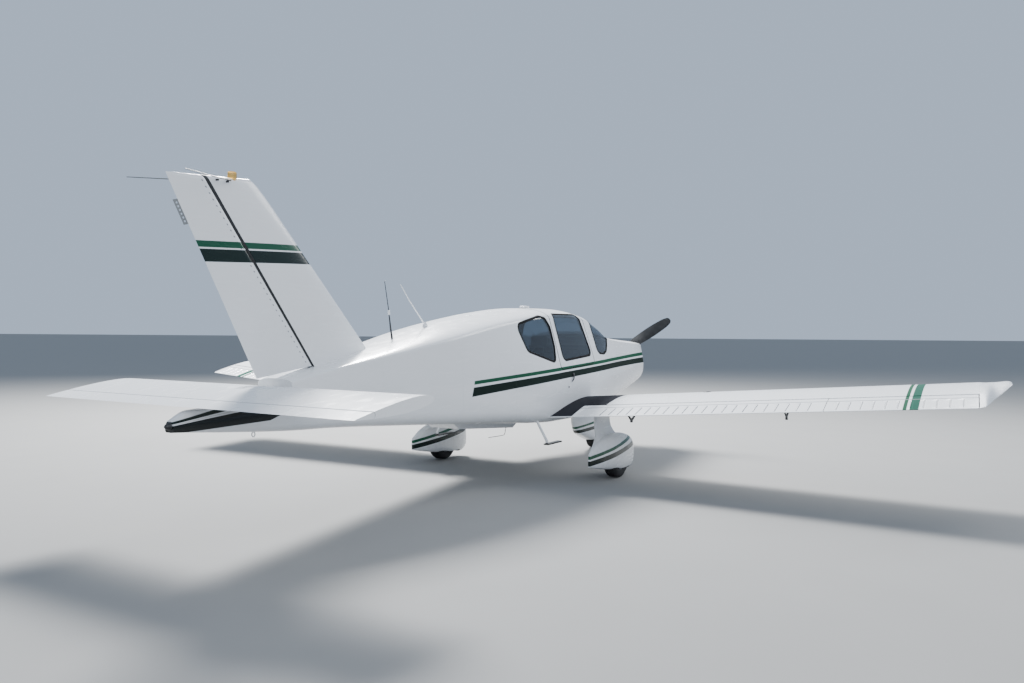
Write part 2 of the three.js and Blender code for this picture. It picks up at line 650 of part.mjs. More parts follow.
function stabilatorPieces() {
  const half = STAB_TIP.map(([inward, front, rear, factor]) => {
    const te = STAB_TE_X + rear;
    const le = STAB_LE_X - front;
    const thickness = STAB_THICKNESS * factor;
    return (side) => aerofoilRing(side * (STAB_HALF - inward), le, te, stabZ(te), thickness, 0, STAB_INCIDENCE);
  });
  const whole = solid(loft([...half.map((ring) => ring(-1)), ...[...half].reverse().map((ring) => ring(1))]));
  const notch = box(STAB_AXIS_X - 60, STAB_LE_X + 100, -45, 45, 0, FAR);
  const tabZ = stabZ(TAB_AXIS_X);
  const tabRadius = 18;
  const tabBay = box(-FAR, TAB_AXIS_X + tabRadius + 5, -FAR, FAR, 0, FAR);
  const blocks = [-1100, -40, 1100].map((y) => box(TAB_AXIS_X + tabRadius + SEAT, TAB_AXIS_X + tabRadius + 28,
    y - 20, y + 20, tabZ - 5, tabZ + 5));
  const stabilator = union(whole.subtract(notch).subtract(tabBay), ...blocks);
  const tab = whole.intersect(box(-FAR, TAB_AXIS_X, -FAR, FAR, 0, FAR))
    .add(bar([TAB_AXIS_X, 1 - STAB_HALF, tabZ], [TAB_AXIS_X, STAB_HALF - 1, tabZ], tabRadius, tabRadius, 20));
  return { stabilator, tab };
}

function rearBody() {
  const inside = bodyLoft(CABIN_REAR_X + 50, BODY_REAR_X + 25, SKIN);
  const shell = bodyLoft(CABIN_REAR_X - SEAT, BODY_REAR_X);
  const whips = [
    bar([-1935, 0, 1600], [-2330, 0, 2020], 8, 4, 8),
    bar([-2430, 0, 1480], [-2560, 0, 2040], 7, 3, 8),
  ];
  return union(shell, ...whips).subtract(inside);
}

const BAGGAGE_OUTLINE = [[-1930, 1000], [-1300, 1000], [-1300, 1440], [-1930, 1440]];
const BAGGAGE_CORNER = 46;

// Half width of the body's slanting side at a station and a height above its widest point.
function skinY(x, z) {
  const side = bodyRing(x, 0).filter(([, y]) => y > 0);
  const above = side.findIndex((p) => p[2] >= z);
  const [a, b] = [side[above - 1], side[above]];
  return a[1] + ((z - a[2]) / (b[2] - a[2])) * (b[1] - a[1]);
}

const BAGGAGE_HINGE = { z: 1441, outside: 1.5, rear: -1890, front: -1340 };

function baggagePieces() {
  const shell = rearBody();
  const doorOutline = rounded(shrink(BAGGAGE_OUTLINE, DOOR_GAP), BAGGAGE_CORNER - DOOR_GAP);
  const door = shell.intersect(sideways(doorOutline, 200, FAR));
  const { z, outside } = BAGGAGE_HINGE;
  const [rear, front] = [BAGGAGE_HINGE.rear, BAGGAGE_HINGE.front]
    .map((x) => new THREE.Vector3(x, skinY(x, z) + outside, z));
  // pins of the hinge along the door's upper edge
  const pins = [[0.08, 0.18], [0.82, 0.92]].map(([from, to]) => bar(
    rear.clone().lerp(front, from).toArray(), rear.clone().lerp(front, to).toArray(), DOOR_GAP + 0.6,
  ));
  const body = union(shell.subtract(sideways(rounded(BAGGAGE_OUTLINE, BAGGAGE_CORNER), 200, FAR)), ...pins);
  return { body, door };
}

function tailCone() {
  const pivotZ = stabZ(STAB_AXIS_X);
  const cone = bodyLoft(BODY_REAR_X - SEAT, CONE_END_X).intersect(box(-FAR, FAR, -FAR, FAR, 0, CONE_TOP_Z));
  const post = sideways([
    [STAB_AXIS_X + 90, 960], [STAB_AXIS_X + 26, pivotZ + 18],
    [STAB_AXIS_X - 26, pivotZ + 18], [STAB_AXIS_X - 50, 960],
  ], -20, 20);
  const pin = bar([STAB_AXIS_X, -45 + SEAT, pivotZ], [STAB_AXIS_X, 45 - SEAT, pivotZ], 14);
  const ring = box(-4085, -4055, -6, 6, 790, 850);
  return union(cone, post, pin, ring);
}

function tailLight() {
  return bar([CONE_END_X - SEAT, 0, 943], [TAIL_LIGHT_X, 0, 943], 30, 18);
}

// Landing gear

const WHEEL_SIDES = 28;

// Turned solid about a line along Y, from a list of [radius, y from the middle].
function turned(x, y, z, profile) {
  const geometry = new THREE.LatheGeometry(profile.map(([r, w]) => new THREE.Vector2(r, w)), WHEEL_SIDES);
  geometry.translate(x, y, z);
  return solid(geometry);
}

// Tread and sidewalls of a tyre in section, from one shoulder to the other.
function tyreProfile(radius, width) {
  const half = width / 2;
  const side = [[0.82, 1], [0.95, 0.75], [1, 0.3]];
  const one = side.map(([r, w]) => [r * radius, -w * half]);
  return [...one, ...[...one].reverse().map(([r, w]) => [r, -w])];
}

// Tyre and hub as one solid with a bore for its axle.
function wheel(x, y, radius, width, axle) {
  const half = width / 2;
  const bore = (axle + SEAT) / Math.cos(Math.PI / WHEEL_SIDES);
  const hub = [[bore, -half * 0.8], [radius * 0.52, -half * 0.8], [radius * 0.6, -half * 0.95]];
  const otherHub = [...hub].reverse().map(([r, w]) => [r, -w]);
  return turned(x, y, radius, [...hub, ...tyreProfile(radius, width), ...otherHub, hub[0]]);
}

const SPAT_PITCH = 130;

// Hollow fairing along X from rows of station, bottom, top and half width, about a plane of constant y.
// Its sections are squarer below than above.
function spatShell(rows, y, wall, wheelX, wheelRoom) {
  const sides = 18;
  const ring = ([x, bottom, top, half], inset) => {
    const middle = (bottom + top) / 2;
    const points = [];
    for (let i = 0; i < sides; i += 1) {
      const angle = (2 * Math.PI * i) / sides;
      const power = Math.sin(angle) < 0 ? 0.5 : 0.75;
      const across = Math.sign(Math.cos(angle)) * Math.abs(Math.cos(angle)) ** power;
      const up = Math.sign(Math.sin(angle)) * Math.abs(Math.sin(angle)) ** power;
      points.push([x, y + (half - inset) * across, middle + ((top - bottom) / 2 - inset) * up]);
    }
    return points;
  };
  const stations = stationsOf(rows, SPAT_PITCH);
  const [front, rear] = [rows[1][0], rows[rows.length - 2][0]];
  const outside = solid(loft(stations.map((x) => ring(smoothRow(rows, x), 0))));
  const inside = solid(loft(stations.filter((x) => x >= rear && x <= front)
    .map((x) => ring(smoothRow(rows, x), wall))));
  const [reach, half, height] = wheelRoom;
  return outside.subtract(inside).subtract(box(wheelX - reach, wheelX + reach, y - half, y + half, 0, height));
}

// Main wheel fairing. Columns: station, bottom, top, half width
const MAIN_SPAT = [
  [445, 200, 310, 35],
  [380, 115, 390, 92],
  [260, 75, 448, 120],
  [60, 76, 480, 128],
  [-180, 108, 477, 118],
  [-420, 145, 427, 77],
  [-640, 188, 330, 12],
];
const MAIN_SPAT_Y = 1144;
const LEG_Y = 1036;
const LEG_HALF = 32;
// Leg sections. Columns: height, rear, front
const LEG_ROWS = [[150, -120, 90], [420, -270, 120], [560, -280, 95], [790, -285, 80]];

function legLoft(grow) {
  return solid(loft(LEG_ROWS.map(([height, rear, front], i) => {
    const z = i === 0 ? height - grow : height;
    const half = LEG_HALF + grow;
    const chord = front - rear;
    return [
      [front + grow, LEG_Y, z], [front - 0.15 * chord, LEG_Y + half, z], [front - 0.5 * chord, LEG_Y + half, z],
      [rear - 4 * grow, LEG_Y, z],
      [front - 0.5 * chord, LEG_Y - half, z], [front - 0.15 * chord, LEG_Y - half, z],
    ];
  })));
}

function mainLeg(wing) {
  const axle = bar([0, LEG_Y, MAIN_TYRE_RADIUS], [0, HALF_TRACK + 72, MAIN_TYRE_RADIUS], MAIN_AXLE);
  const collar = bar([0, LEG_Y, MAIN_TYRE_RADIUS], [0, LEG_Y + LEG_HALF + 10, MAIN_TYRE_RADIUS], 40);
  const top = wingAt(SURFACE_AXIS_X).bottom;
  const flapRoom = tilted(box(-FAR, COVE_X + RUN, LEG_Y - 200, LEG_Y + 200, top - 25, FAR));
  const plate = legLoft(0).subtract(wing.translate([0, 0, -SEAT])).subtract(flapRoom);
  return union(plate, axle, collar);
}

function mainSpat() {
  const shell = spatShell(MAIN_SPAT, MAIN_SPAT_Y, 12, 0, [240, 100, 130]);
  const half = MAIN_TYRE_WIDTH / 2 + RUN;
  const tyre = tyreProfile(MAIN_TYRE_RADIUS, MAIN_TYRE_WIDTH);
  const grown = tyre.map(([r, w]) => [r + RUN, w + Math.sign(w) * RUN]);
  const wheelRoom = turned(0, HALF_TRACK, MAIN_TYRE_RADIUS, [[0, -half], ...grown, [0, half]]);
  return shell.subtract(wheelRoom).subtract(legLoft(SEAT));
}

// Nose wheel fairing. Columns: station, bottom, top, half width
const NOSE_SPAT = [
  [2395, 205, 310, 28],
  [2330, 145, 370, 68],
  [2180, 98, 430, 102],
  [1960, 85, 470, 112],
  [1720, 138, 490, 100],
  [1500, 212, 500, 70],
  [1390, 255, 495, 48],
  [1270, 390, 475, 14],
];

const FORK_HALF = 80;

function noseFork() {
  const arm = box(NOSE_WHEEL_X - 22, NOSE_WHEEL_X + 22, 68.5, FORK_HALF, 150, 440);
  const crown = box(NOSE_WHEEL_X - 36, NOSE_WHEEL_X + 36, -FORK_HALF, FORK_HALF, 400, 450);
  const strut = bar([NOSE_WHEEL_X, 0, 430], [NOSE_WHEEL_X, 0, 640], 26);
  const axle = bar([NOSE_WHEEL_X, -90, NOSE_TYRE_RADIUS], [NOSE_WHEEL_X, 90, NOSE_TYRE_RADIUS], NOSE_AXLE);
  return union(crown, arm, mirrored(arm), strut, axle);
}

function noseSpat() {
  const shell = spatShell(NOSE_SPAT, 0, 8, NOSE_WHEEL_X, [215, 90, 150]);
  const half = FORK_HALF + SEAT;
  const neck = box(NOSE_WHEEL_X - 36 - SEAT, NOSE_WHEEL_X + 36 + SEAT, -half, half, 370, 530);
  return shell.subtract(neck);
}

// Fixed part of the nose leg with the frame that carries it and the engine from the firewall.
function noseLeg() {
  const barrel = bar([NOSE_WHEEL_X, 0, 640 + SEAT], [NOSE_WHEEL_X, 0, 930], 42);
  const beam = box(FIREWALL_X + SEAT, NOSE_WHEEL_X + 20, -35, 35, 900, 950);
  const feet = [[1580, 940], [1900, 940]].map(([x, z]) => box(x, x + 60, -200, 200, z, ENGINE.bottom - SEAT));
  return union(barrel, beam, ...feet);
}

// Cabin furniture and outside fittings

const FLOOR_Z = smoothRow(BODY, 250)[1] + CABIN_WALL;
const cabinRoom = bodyLoft(FIREWALL_X - 30 - SEAT, CABIN_REAR_X + 30 + SEAT, CABIN_WALL + SEAT);

function instrumentPanel() {
  return sideways([[935, 1040], [1290, 1040], [1290, 1405], [905, 1420], [905, 1385], [935, 1380]], -450, 450)
    .intersect(cabinRoom);
}

function yoke() {
  const shaft = bar([935 - SEAT, 255, 1130], [780, 255, 1130], 14, 14, 10);
  const grip = box(765, 795, 150, 360, 1112, 1148);
  const horns = [150, 330].map((y) => box(765, 795, y, y + 30, 1112, 1215));
  return union(grip, shaft, ...horns);
}

function frontSeat() {
  return sideways([
    [520, FLOOR_Z - 20], [520, 850], [440, 880], [60, 845], [-90, 1400], [-110, 1560], [-175, 1560],
    [-160, 1380], [-60, 780], [-60, FLOOR_Z - 20],
  ], 45, 500).intersect(cabinRoom);
}

function rearBench() {
  return sideways([
    [-400, FLOOR_Z - 20], [-390, 870], [-800, 850], [-930, 1370], [-1010, 1380], [-930, 800],
    [-930, FLOOR_Z - 20],
  ], -500, 500).intersect(cabinRoom);
}

function bellyScoop() {
  const rings = [[-440, 600, 630], [-552, 531, 640], [-1604, 618, 700], [-1715, 690, 725]];
  const fairing = solid(loft(rings.map(([x, low, high]) => [
    [x, 170, low], [x, 210, high], [x, -210, high], [x, -170, low],
  ])));
  return fairing.subtract(bodyKeepOut);
}

function boardingStep() {
  const strut = bar([-750, 552, 700], [-750, 704, 442], 14, 14, 10);
  const ankle = bar([-750, 702, 452], [-750, 702, 409], 14, 14, 10);
  const foot = box(-765, -450, 674, 730, 402, 416);
  return union(strut, ankle, foot).subtract(bodyKeepOut);
}

// The assembly

const aircraft = new THREE.Group();
aircraft.position.set(-ORIGIN_X, 0, 0);

function piece(name, manifold, finish) {
  const mesh = new THREE.Mesh(geometryOf(manifold), new THREE.MeshStandardMaterial(finish));
  mesh.name = name;
  aircraft.add(mesh);
}

function pair(name, left, finish) {
  piece(`${name}_left`, left, finish);
  piece(`${name}_right`, mirrored(left), finish);
}

const cabin = cabinPieces();
const cowl = cowlPieces();
const wing = wingPieces();
const tail = tailPieces();
const stab = stabilatorPieces();
const baggage = baggagePieces();

piece('cabin_shell', cabin.cabin, WHITE);
piece('windshield', cabin.screen, GLASS);
pair('rear_window', cabin.rearGlass, GLASS);
pair('door', cabin.doorLeft, WHITE);
pair('door_window', cabin.doorGlass, GLASS);
piece('instrument_panel', instrumentPanel(), PANEL);
pair('yoke', yoke(), GREY);
pair('front_seat', frontSeat(), LEATHER);
piece('rear_bench', rearBench(), LEATHER);

piece('cowl_upper', cowl.upper, WHITE);
piece('cowl_lower', cowl.lower, WHITE);
piece('engine_block', engineBlock(), IRON);
piece('exhaust_pipe', exhaustPipe(), STEEL);
piece('propeller', propeller(), GREY);
piece('spinner', spinner(), WHITE);

piece('rear_fuselage', baggage.body, WHITE);
piece('baggage_door', baggage.door, WHITE);
piece('tail_cone', tailCone(), WHITE);
piece('tail_light', tailLight(), GLASS);
piece('belly_scoop', bellyScoop(), WHITE);
pair('boarding_step', boardingStep(), GREY);

pair('wing', wing.wing, WHITE);
pair('wing_tip', wing.tip, WHITE);
pair('flap', wing.flap, WHITE);
pair('aileron', wing.aileron, WHITE);

piece('fin', tail.fin, WHITE);
piece('rudder', tail.rudder, WHITE);
piece('beacon', tail.beacon, AMBER);
piece('stabilator', stab.stabilator, WHITE);
piece('stabilator_tab', stab.tab, WHITE);

piece('nose_leg', noseLeg(), STEEL);
piece('nose_fork', noseFork(), STEEL);
piece('nose_spat', noseSpat(), WHITE);
piece('nose_wheel', wheel(NOSE_WHEEL_X, 0, NOSE_TYRE_RADIUS, NOSE_TYRE_WIDTH, NOSE_AXLE), RUBBER);
pair('main_leg', mainLeg(wing.whole), STEEL);
pair('main_spat', mainSpat(), WHITE);
pair('main_wheel', wheel(0, HALF_TRACK, MAIN_TYRE_RADIUS, MAIN_TYRE_WIDTH, MAIN_AXLE), RUBBER);

export default aircraft;
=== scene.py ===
"""The looks of a four-seat light aircraft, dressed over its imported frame.

Lengths are metres. Shapes are worked out from the main axle, X forward, Y to the left wing, Z up, and
every finished piece is put into the frame by AXLE_X.
"""

import math

import bmesh
import bpy
import numpy as np
from mathutils import Matrix, Vector


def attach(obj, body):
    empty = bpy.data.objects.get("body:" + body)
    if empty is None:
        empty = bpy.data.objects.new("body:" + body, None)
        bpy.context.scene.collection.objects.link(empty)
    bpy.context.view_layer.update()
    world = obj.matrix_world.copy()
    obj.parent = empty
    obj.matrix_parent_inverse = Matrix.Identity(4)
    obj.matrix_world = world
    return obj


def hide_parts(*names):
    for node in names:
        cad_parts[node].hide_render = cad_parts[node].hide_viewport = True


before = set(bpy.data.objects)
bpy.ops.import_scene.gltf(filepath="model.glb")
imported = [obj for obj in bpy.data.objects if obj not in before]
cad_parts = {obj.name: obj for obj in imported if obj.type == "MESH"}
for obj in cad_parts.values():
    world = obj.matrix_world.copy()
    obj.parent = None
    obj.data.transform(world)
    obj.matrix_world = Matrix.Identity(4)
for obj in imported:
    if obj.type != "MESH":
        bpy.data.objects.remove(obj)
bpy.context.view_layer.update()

AXLE_X = 0.9525  # the main axle, from the frame's origin

# Driving sizes, as in the part's source
HALF_TRACK = 1.165
MAIN_TYRE_RADIUS = 0.220
MAIN_TYRE_WIDTH = 0.152
NOSE_WHEEL_X = 1.960
NOSE_TYRE_RADIUS = 0.178
NOSE_TYRE_WIDTH = 0.125
FIREWALL_X = 1.300
CABIN_REAR_X = -1.200
BODY_REAR_X = -3.860
CONE_END_X = -4.790
CABIN_WALL = 0.035
SKIN = 0.020
PANE = 0.006  # window glass
COWL_WALL = 0.006
SPAT_WALL = 0.004
BULKHEAD = 0.026
HAIRLINE = 0.0004  # gap between skins that meet
DOOR_GAP = 0.006
PROP_X = 2.740
PROP_Z = 1.275
PROP_RADIUS = 0.940
PROP_ANGLE = math.radians(32)
COWL_SPLIT_Z = 1.215
WING_LE_X = 0.630
WING_TE_X = -0.590
WING_TE_Z = 0.622
WING_INCIDENCE = math.radians(3.3)
WING_THICKNESS = 0.165
WING_CAMBER = 0.016
DIHEDRAL = math.radians(4.5)
WING_ROOT = 0.480
TIP_JOINT = 4.655
FLAP_INNER = 0.908
FLAP_OUTER = 3.425
SURFACE_AXIS_X = -0.250
FLAP_HINGE_DROP = 0.118
FLAP_BRACKETS = (1.440, 3.030)
SURFACE_GAP = 0.008  # running gap beside an aileron
ROOT_END = 0.90  # span at which the hollow ahead of the flap starts
FLAP_GROOVES = 1.177  # span; the first pressed groove lies half a pitch further out
FLAP_PITCH = 0.0985
AILERON_GROOVES = FLAP_OUTER + 0.063
AILERON_PITCH = 0.1005
FUEL_CAP = (0.330, 2.100)  # station and span
RUDDER_SWEEP = 0.7604  # the rudder's hinge runs back by this share of its height
RUDDER_RIVETS = -2.552  # station of the row of rivets, carried down the sweep to the ground
FIN_EDGE = 0.028  # height over which the top edge is rounded
FIN_TALL = 1.5  # about the vertical tail's height, to turn a height into a share
PANEL_FACE_X = 0.934
STAB_LE_X = -3.930
STAB_TE_X = -4.724
STAB_TE_Z = 1.070
STAB_INCIDENCE = math.radians(5.6)
STAB_HALF = 1.550
STAB_THICKNESS = 0.11
STAB_AXIS_X = -4.150
TAB_AXIS_X = -4.552
CONE_TOP_Z = 1.040
HINGE_LOW = (-3.462, 1.304)
HINGE_HIGH = (-4.484, 2.648)


# Tables of sections

# Body. Columns: station, bottom, top, half width, height of the widest point, shoulder half width,
# shoulder height, radius of the lower corner
BODY = np.array([
    (2.680, 1.010, 1.385, 0.322, 1.205, 0.292, 1.342, 0.120),
    (2.668, 0.970, 1.416, 0.382, 1.204, 0.345, 1.370, 0.155),
    (2.640, 0.932, 1.444, 0.430, 1.203, 0.390, 1.392, 0.190),
    (2.580, 0.896, 1.464, 0.468, 1.200, 0.422, 1.410, 0.225),
    (2.250, 0.822, 1.484, 0.500, 1.168, 0.437, 1.427, 0.260),
    (1.300, 0.690, 1.550, 0.592, 1.090, 0.500, 1.490, 0.200),
    (1.000, 0.640, 1.712, 0.630, 1.085, 0.492, 1.600, 0.170),
    (0.650, 0.605, 1.832, 0.655, 1.085, 0.468, 1.712, 0.150),
    (0.250, 0.600, 1.864, 0.665, 1.085, 0.465, 1.748, 0.140),
    (-0.350, 0.602, 1.852, 0.660, 1.085, 0.470, 1.735, 0.140),
    (-0.800, 0.625, 1.810, 0.638, 1.090, 0.470, 1.700, 0.140),
    (-1.200, 0.660, 1.757, 0.598, 1.100, 0.466, 1.650, 0.140),
    (-1.900, 0.712, 1.640, 0.512, 1.110, 0.455, 1.535, 0.130),
    (-2.700, 0.768, 1.462, 0.395, 1.100, 0.362, 1.405, 0.110),
    (-3.450, 0.815, 1.306, 0.268, 1.070, 0.240, 1.278, 0.080),
    (-3.860, 0.830, 1.222, 0.205, 1.030, 0.180, 1.190, 0.060),
    (-4.400, 0.868, 1.078, 0.105, 0.975, 0.085, 1.042, 0.035),
    (-4.670, 0.892, 1.040, 0.060, 0.958, 0.048, 1.012, 0.025),
    (-4.790, 0.901, 0.985, 0.044, 0.943, 0.036, 0.960, 0.020),
])
ROOF_FULLNESS = 0.6

# Openings in side view, x and z, and the radius of their corners
DOOR_OUTLINE = [(-0.280, 1.166), (0.655, 1.212), (0.560, 1.990), (-0.280, 1.990)]
DOOR_WINDOW = [(-0.175, 1.266), (0.602, 1.316), (0.488, 1.795), (-0.175, 1.790)]
SCREEN_OUTLINE = [(0.742, 1.990), (0.800, 1.376), (0.852, 1.328), (1.000, 1.320), (1.118, 1.352),
                  (1.186, 1.424), (1.255, 1.560), (1.255, 1.990)]
REAR_WINDOW = [(-1.015, 1.662), (-0.895, 1.382), (-0.365, 1.250), (-0.312, 1.420), (-0.306, 1.640),
               (-0.372, 1.738), (-0.480, 1.762)]
BAGGAGE_OUTLINE = [(-1.930, 1.000), (-1.300, 1.000), (-1.300, 1.440), (-1.930, 1.440)]
CORNER = 0.065
BAGGAGE_CORNER = 0.046
ROOF_BEAM = 0.064  # half width of the beam between the doors

# Propeller blade. Columns: radius, chord, thickness, pitch in degrees
BLADE = np.array([
    (0.060, 0.090, 0.060, 50),
    (0.200, 0.100, 0.042, 42),
    (0.360, 0.138, 0.024, 32),
    (0.600, 0.150, 0.015, 23),
    (0.820, 0.128, 0.010, 18),
    (0.920, 0.084, 0.007, 16),
    (PROP_RADIUS, 0.036, 0.005, 16),
])

# Wing tip. Columns: span, leading edge, trailing edge, thickness factor, rise of the lower line
WING_TIP = np.array([
    (TIP_JOINT, 0.630, -0.590, 1.00, 0.000),
    (4.700, 0.630, -0.520, 0.96, 0.004),
    (4.770, 0.628, -0.130, 1.12, 0.020),
    (4.860, 0.612, 0.210, 1.20, 0.052),
    (4.910, 0.585, 0.400, 1.00, 0.074),
])

# Vertical tail. Columns: height, leading edge, trailing edge, thickness
FIN_ROWS = np.array([
    (1.100, -2.473, -3.970, 0.096),
    (1.500, -2.874, -4.192, 0.088),
    (2.500, -3.880, -4.748, 0.0553),
    (2.600, -3.984, -4.804, 0.052),
    (2.660, -4.056, -4.837, 0.049),
    (2.695, -4.116, -4.856, 0.0475),
    (2.720, -4.200, -4.870, 0.046),
])

# Wheel fairings. Columns: station, bottom, top, half width
MAIN_SPAT = np.array([
    (-0.640, 0.188, 0.330, 0.012),
    (-0.420, 0.145, 0.427, 0.077),
    (-0.180, 0.108, 0.477, 0.118),
    (0.060, 0.076, 0.480, 0.125),
    (0.260, 0.075, 0.448, 0.111),
    (0.380, 0.115, 0.390, 0.080),
    (0.445, 0.200, 0.310, 0.028),
])
MAIN_SPAT_Y = 1.142
NOSE_SPAT = np.array([
    (1.270, 0.390, 0.475, 0.014),
    (1.390, 0.255, 0.495, 0.048),
    (1.500, 0.212, 0.500, 0.070),
    (1.720, 0.138, 0.490, 0.100),
    (1.960, 0.085, 0.470, 0.112),
    (2.180, 0.098, 0.430, 0.102),
    (2.330, 0.145, 0.370, 0.068),
    (2.395, 0.205, 0.310, 0.028),
])


# The photograph's camera, from the main axle
CAMERA_PLACE = (-8.332, -4.729, 1.5972)
CAMERA_YAW = 0.53155
CAMERA_PITCH = -0.013017
CAMERA_ROLL = 0.007052
CAMERA_LENS = 28.78


def make_camera():
    """The camera looks along yaw and pitch, and leans by the roll."""
    cos_yaw, sin_yaw = math.cos(CAMERA_YAW), math.sin(CAMERA_YAW)
    cos_pitch, sin_pitch = math.cos(CAMERA_PITCH), math.sin(CAMERA_PITCH)
    ahead = Vector((cos_yaw * cos_pitch, sin_yaw * cos_pitch, sin_pitch))
    level = Vector((sin_yaw, -cos_yaw, 0))
    upright = level.cross(ahead)
    right = level * math.cos(CAMERA_ROLL) + upright * math.sin(CAMERA_ROLL)
    above = upright * math.cos(CAMERA_ROLL) - level * math.sin(CAMERA_ROLL)
    camera = bpy.data.objects.new("camera", bpy.data.cameras.new("camera"))
    bpy.context.scene.collection.objects.link(camera)
    camera.data.sensor_width = 36
    camera.data.lens = CAMERA_LENS
    camera.data.clip_end = 200
    turn = Matrix((right, above, -ahead)).transposed().to_4x4()
    place = Vector(CAMERA_PLACE) + Vector((AXLE_X, 0, 0))
    camera.matrix_world = Matrix.Translation(place) @ turn
    bpy.context.scene.camera = camera


make_camera()


# Shading

class Signal:
    """A shader socket, whose arithmetic adds Math nodes."""

    def __init__(self, finish, socket):
        self.finish = finish
        self.socket = socket

    def _math(self, operation, *values):
        node = self.finish.node("ShaderNodeMath", {"operation": operation}, dict(enumerate(values)))
        return Signal(self.finish, node.outputs[0])

    def __add__(self, other):
        return self._math("ADD", self, other)

    def __sub__(self, other):
        return self._math("SUBTRACT", self, other)

    def __rsub__(self, other):
        return self._math("SUBTRACT", other, self)

    def __mul__(self, other):
        return self._math("MULTIPLY", self, other)

    def __truediv__(self, other):
        return self._math("DIVIDE", self, other)

    __radd__ = __add__
    __rmul__ = __mul__

    def size(self):
        """The value without its sign."""
        return self._math("ABSOLUTE", self)

    def part(self):
        """The fraction left above the whole number below."""
        return self._math("FRACT", self)

    def least(self, other):
        """The smaller of two values."""
        return self._math("MINIMUM", self, other)

    def most(self, other):
        """The larger of two values."""
        return self._math("MAXIMUM", self, other)

    def between(self, low, high):
        """0 below low and 1 above high, smooth between; turned round where low is above high."""
        node = self.finish.node("ShaderNodeMapRange", {"interpolation_type": "SMOOTHSTEP"},
                                {"Value": self, "From Min": low, "From Max": high})
        return Signal(self.finish, node.outputs[0])


class Finish:
    """One material and its nodes."""

    def __init__(self, name, **shader):
        self.material = bpy.data.materials.new(name)
        self.material.use_nodes = True
        self.tree = self.material.node_tree
        self.shader = self.tree.nodes["Principled BSDF"]
        for socket, value in shader.items():
            self.feed(self.shader, socket.replace("_", " "), value)

    def feed(self, node, socket, value):
        """A number, colour, Signal or bare socket into one input of a node."""
        target = node.inputs[socket]
        if isinstance(value, Signal):
            self.tree.links.new(value.socket, target)
        elif isinstance(value, bpy.types.NodeSocket):
            self.tree.links.new(value, target)
        else:
            target.default_value = value

    def node(self, kind, settings=(), inputs=()):
        """A node of one kind; its settings are made before its inputs are fed."""
        made = self.tree.nodes.new(kind)
        for key, value in dict(settings).items():
            setattr(made, key, value)
        for socket, value in dict(inputs).items():
            self.feed(made, socket, value)
        return made

    def place(self):
        """Object coordinates as three signals, measured from the main axle."""
        coordinates = self.node("ShaderNodeTexCoord").outputs["Object"]
        split = self.node("ShaderNodeSeparateXYZ", (), {0: coordinates})
        x, y, z = (Signal(self, out) for out in split.outputs)
        return x - AXLE_X, y, z

    def noise(self, scale, detail=3.0, stretch=(1, 1, 1)):
        """Cloudy noise from 0 to 1, finer where the scale is larger."""
        coordinates = self.node("ShaderNodeTexCoord").outputs["Object"]
        mapped = self.node("ShaderNodeMapping", (), {"Vector": coordinates, "Scale": stretch})
        made = self.node("ShaderNodeTexNoise", (),
                         {"Vector": mapped.outputs[0], "Scale": scale, "Detail": detail})
        return Signal(self, made.outputs[0])

    def mix(self, factor, first, second):
        """first where the factor is 0, second where it is 1."""
        made = self.node("ShaderNodeMix", {"data_type": "RGBA"}, {0: factor, 6: first, 7: second})
        return made.outputs[2]

    def colour(self, value):
        """The colour of the whole finish."""
        self.feed(self.shader, "Base Color", value)

    def bump(self, height, distance, strength=1.0):
        """Small relief from a height signal."""
        made = self.node("ShaderNodeBump", (), {"Height": height, "Distance": distance, "Strength": strength})
        self.feed(self.shader, "Normal", made.outputs[0])


WHITE = (0.80, 0.815, 0.83, 1)
GREEN = (0.006, 0.072, 0.036, 1)
DARK_GREEN = (0.002, 0.011, 0.008, 1)
TEAL = (0.002, 0.072, 0.046, 1)
BLACK_GREEN = (0.001, 0.004, 0.004, 1)
DUST = (0.60, 0.61, 0.60, 1)
GRIME = (0.40, 0.38, 0.35, 1)
# painted shade: the shaded side of the grooves and the joint on flaps and ailerons
SHADE = (0.20, 0.21, 0.23, 1)
COAT = 0.22


def paint(name, marks=None, seams=None, matt=None):
    """Gloss paint: slight waves in the sheet, a film of dust low down and in streaks. marks(finish, x, y, z)
    gives the painted stripes as pairs of a mask and a colour, seams the height of rivets and joints, matt a
    mask of what has no gloss."""
    finish = Finish(name, IOR=1.45, Coat_Weight=COAT, Coat_Roughness=0.06, Specular_IOR_Level=0.38)
    x, y, z = finish.place()
    waves = finish.noise(3.0, 2.0)
    dust = finish.noise(9.0, 6.0, (0.5, 1, 2.5)).between(0.45, 0.85)
    colour = finish.mix(dust * 0.10, WHITE, DUST)
    low = z.between(0.9, 0.2) * finish.noise(24.0, 4.0).between(0.4, 0.8)
    colour = finish.mix(low * 0.18, colour, GRIME)
    for mask, tint in (marks(finish, x, y, z) if marks else ()):
        colour = finish.mix(mask, colour, tint)
    finish.colour(colour)
    rough = dust * 0.12 + 0.24
    if matt:
        dull = matt(finish, x, y, z)
        rough = rough + dull * 0.72
        finish.feed(finish.shader, "Coat Weight", (1 - dull) * COAT)
    finish.feed(finish.shader, "Roughness", rough)
    height = waves * 0.9
    if seams:
        height = height + seams(finish, x, y, z)
    finish.bump(height, 0.004, 0.6)
    return finish.material


def band(value, low, high, edge=0.002):
    """1 between low and high, either of which may be a number or a signal."""
    return (value - low).between(-edge, edge) * (value - high).between(edge, -edge)


def rivets(finish, across, along, lines, pitch=0.026, radius=0.0026):
    """Height of rivet rows: heads along each line, a pitch apart."""
    rows = None
    for line in lines:
        off = (across - line).size()
        rows = off if rows is None else rows.least(off)
    step = ((along / pitch).part() - 0.5).size() * pitch
    near = rows * rows + step * step
    return near.between((radius * 1.3) ** 2, (radius * 0.3) ** 2) * 0.35


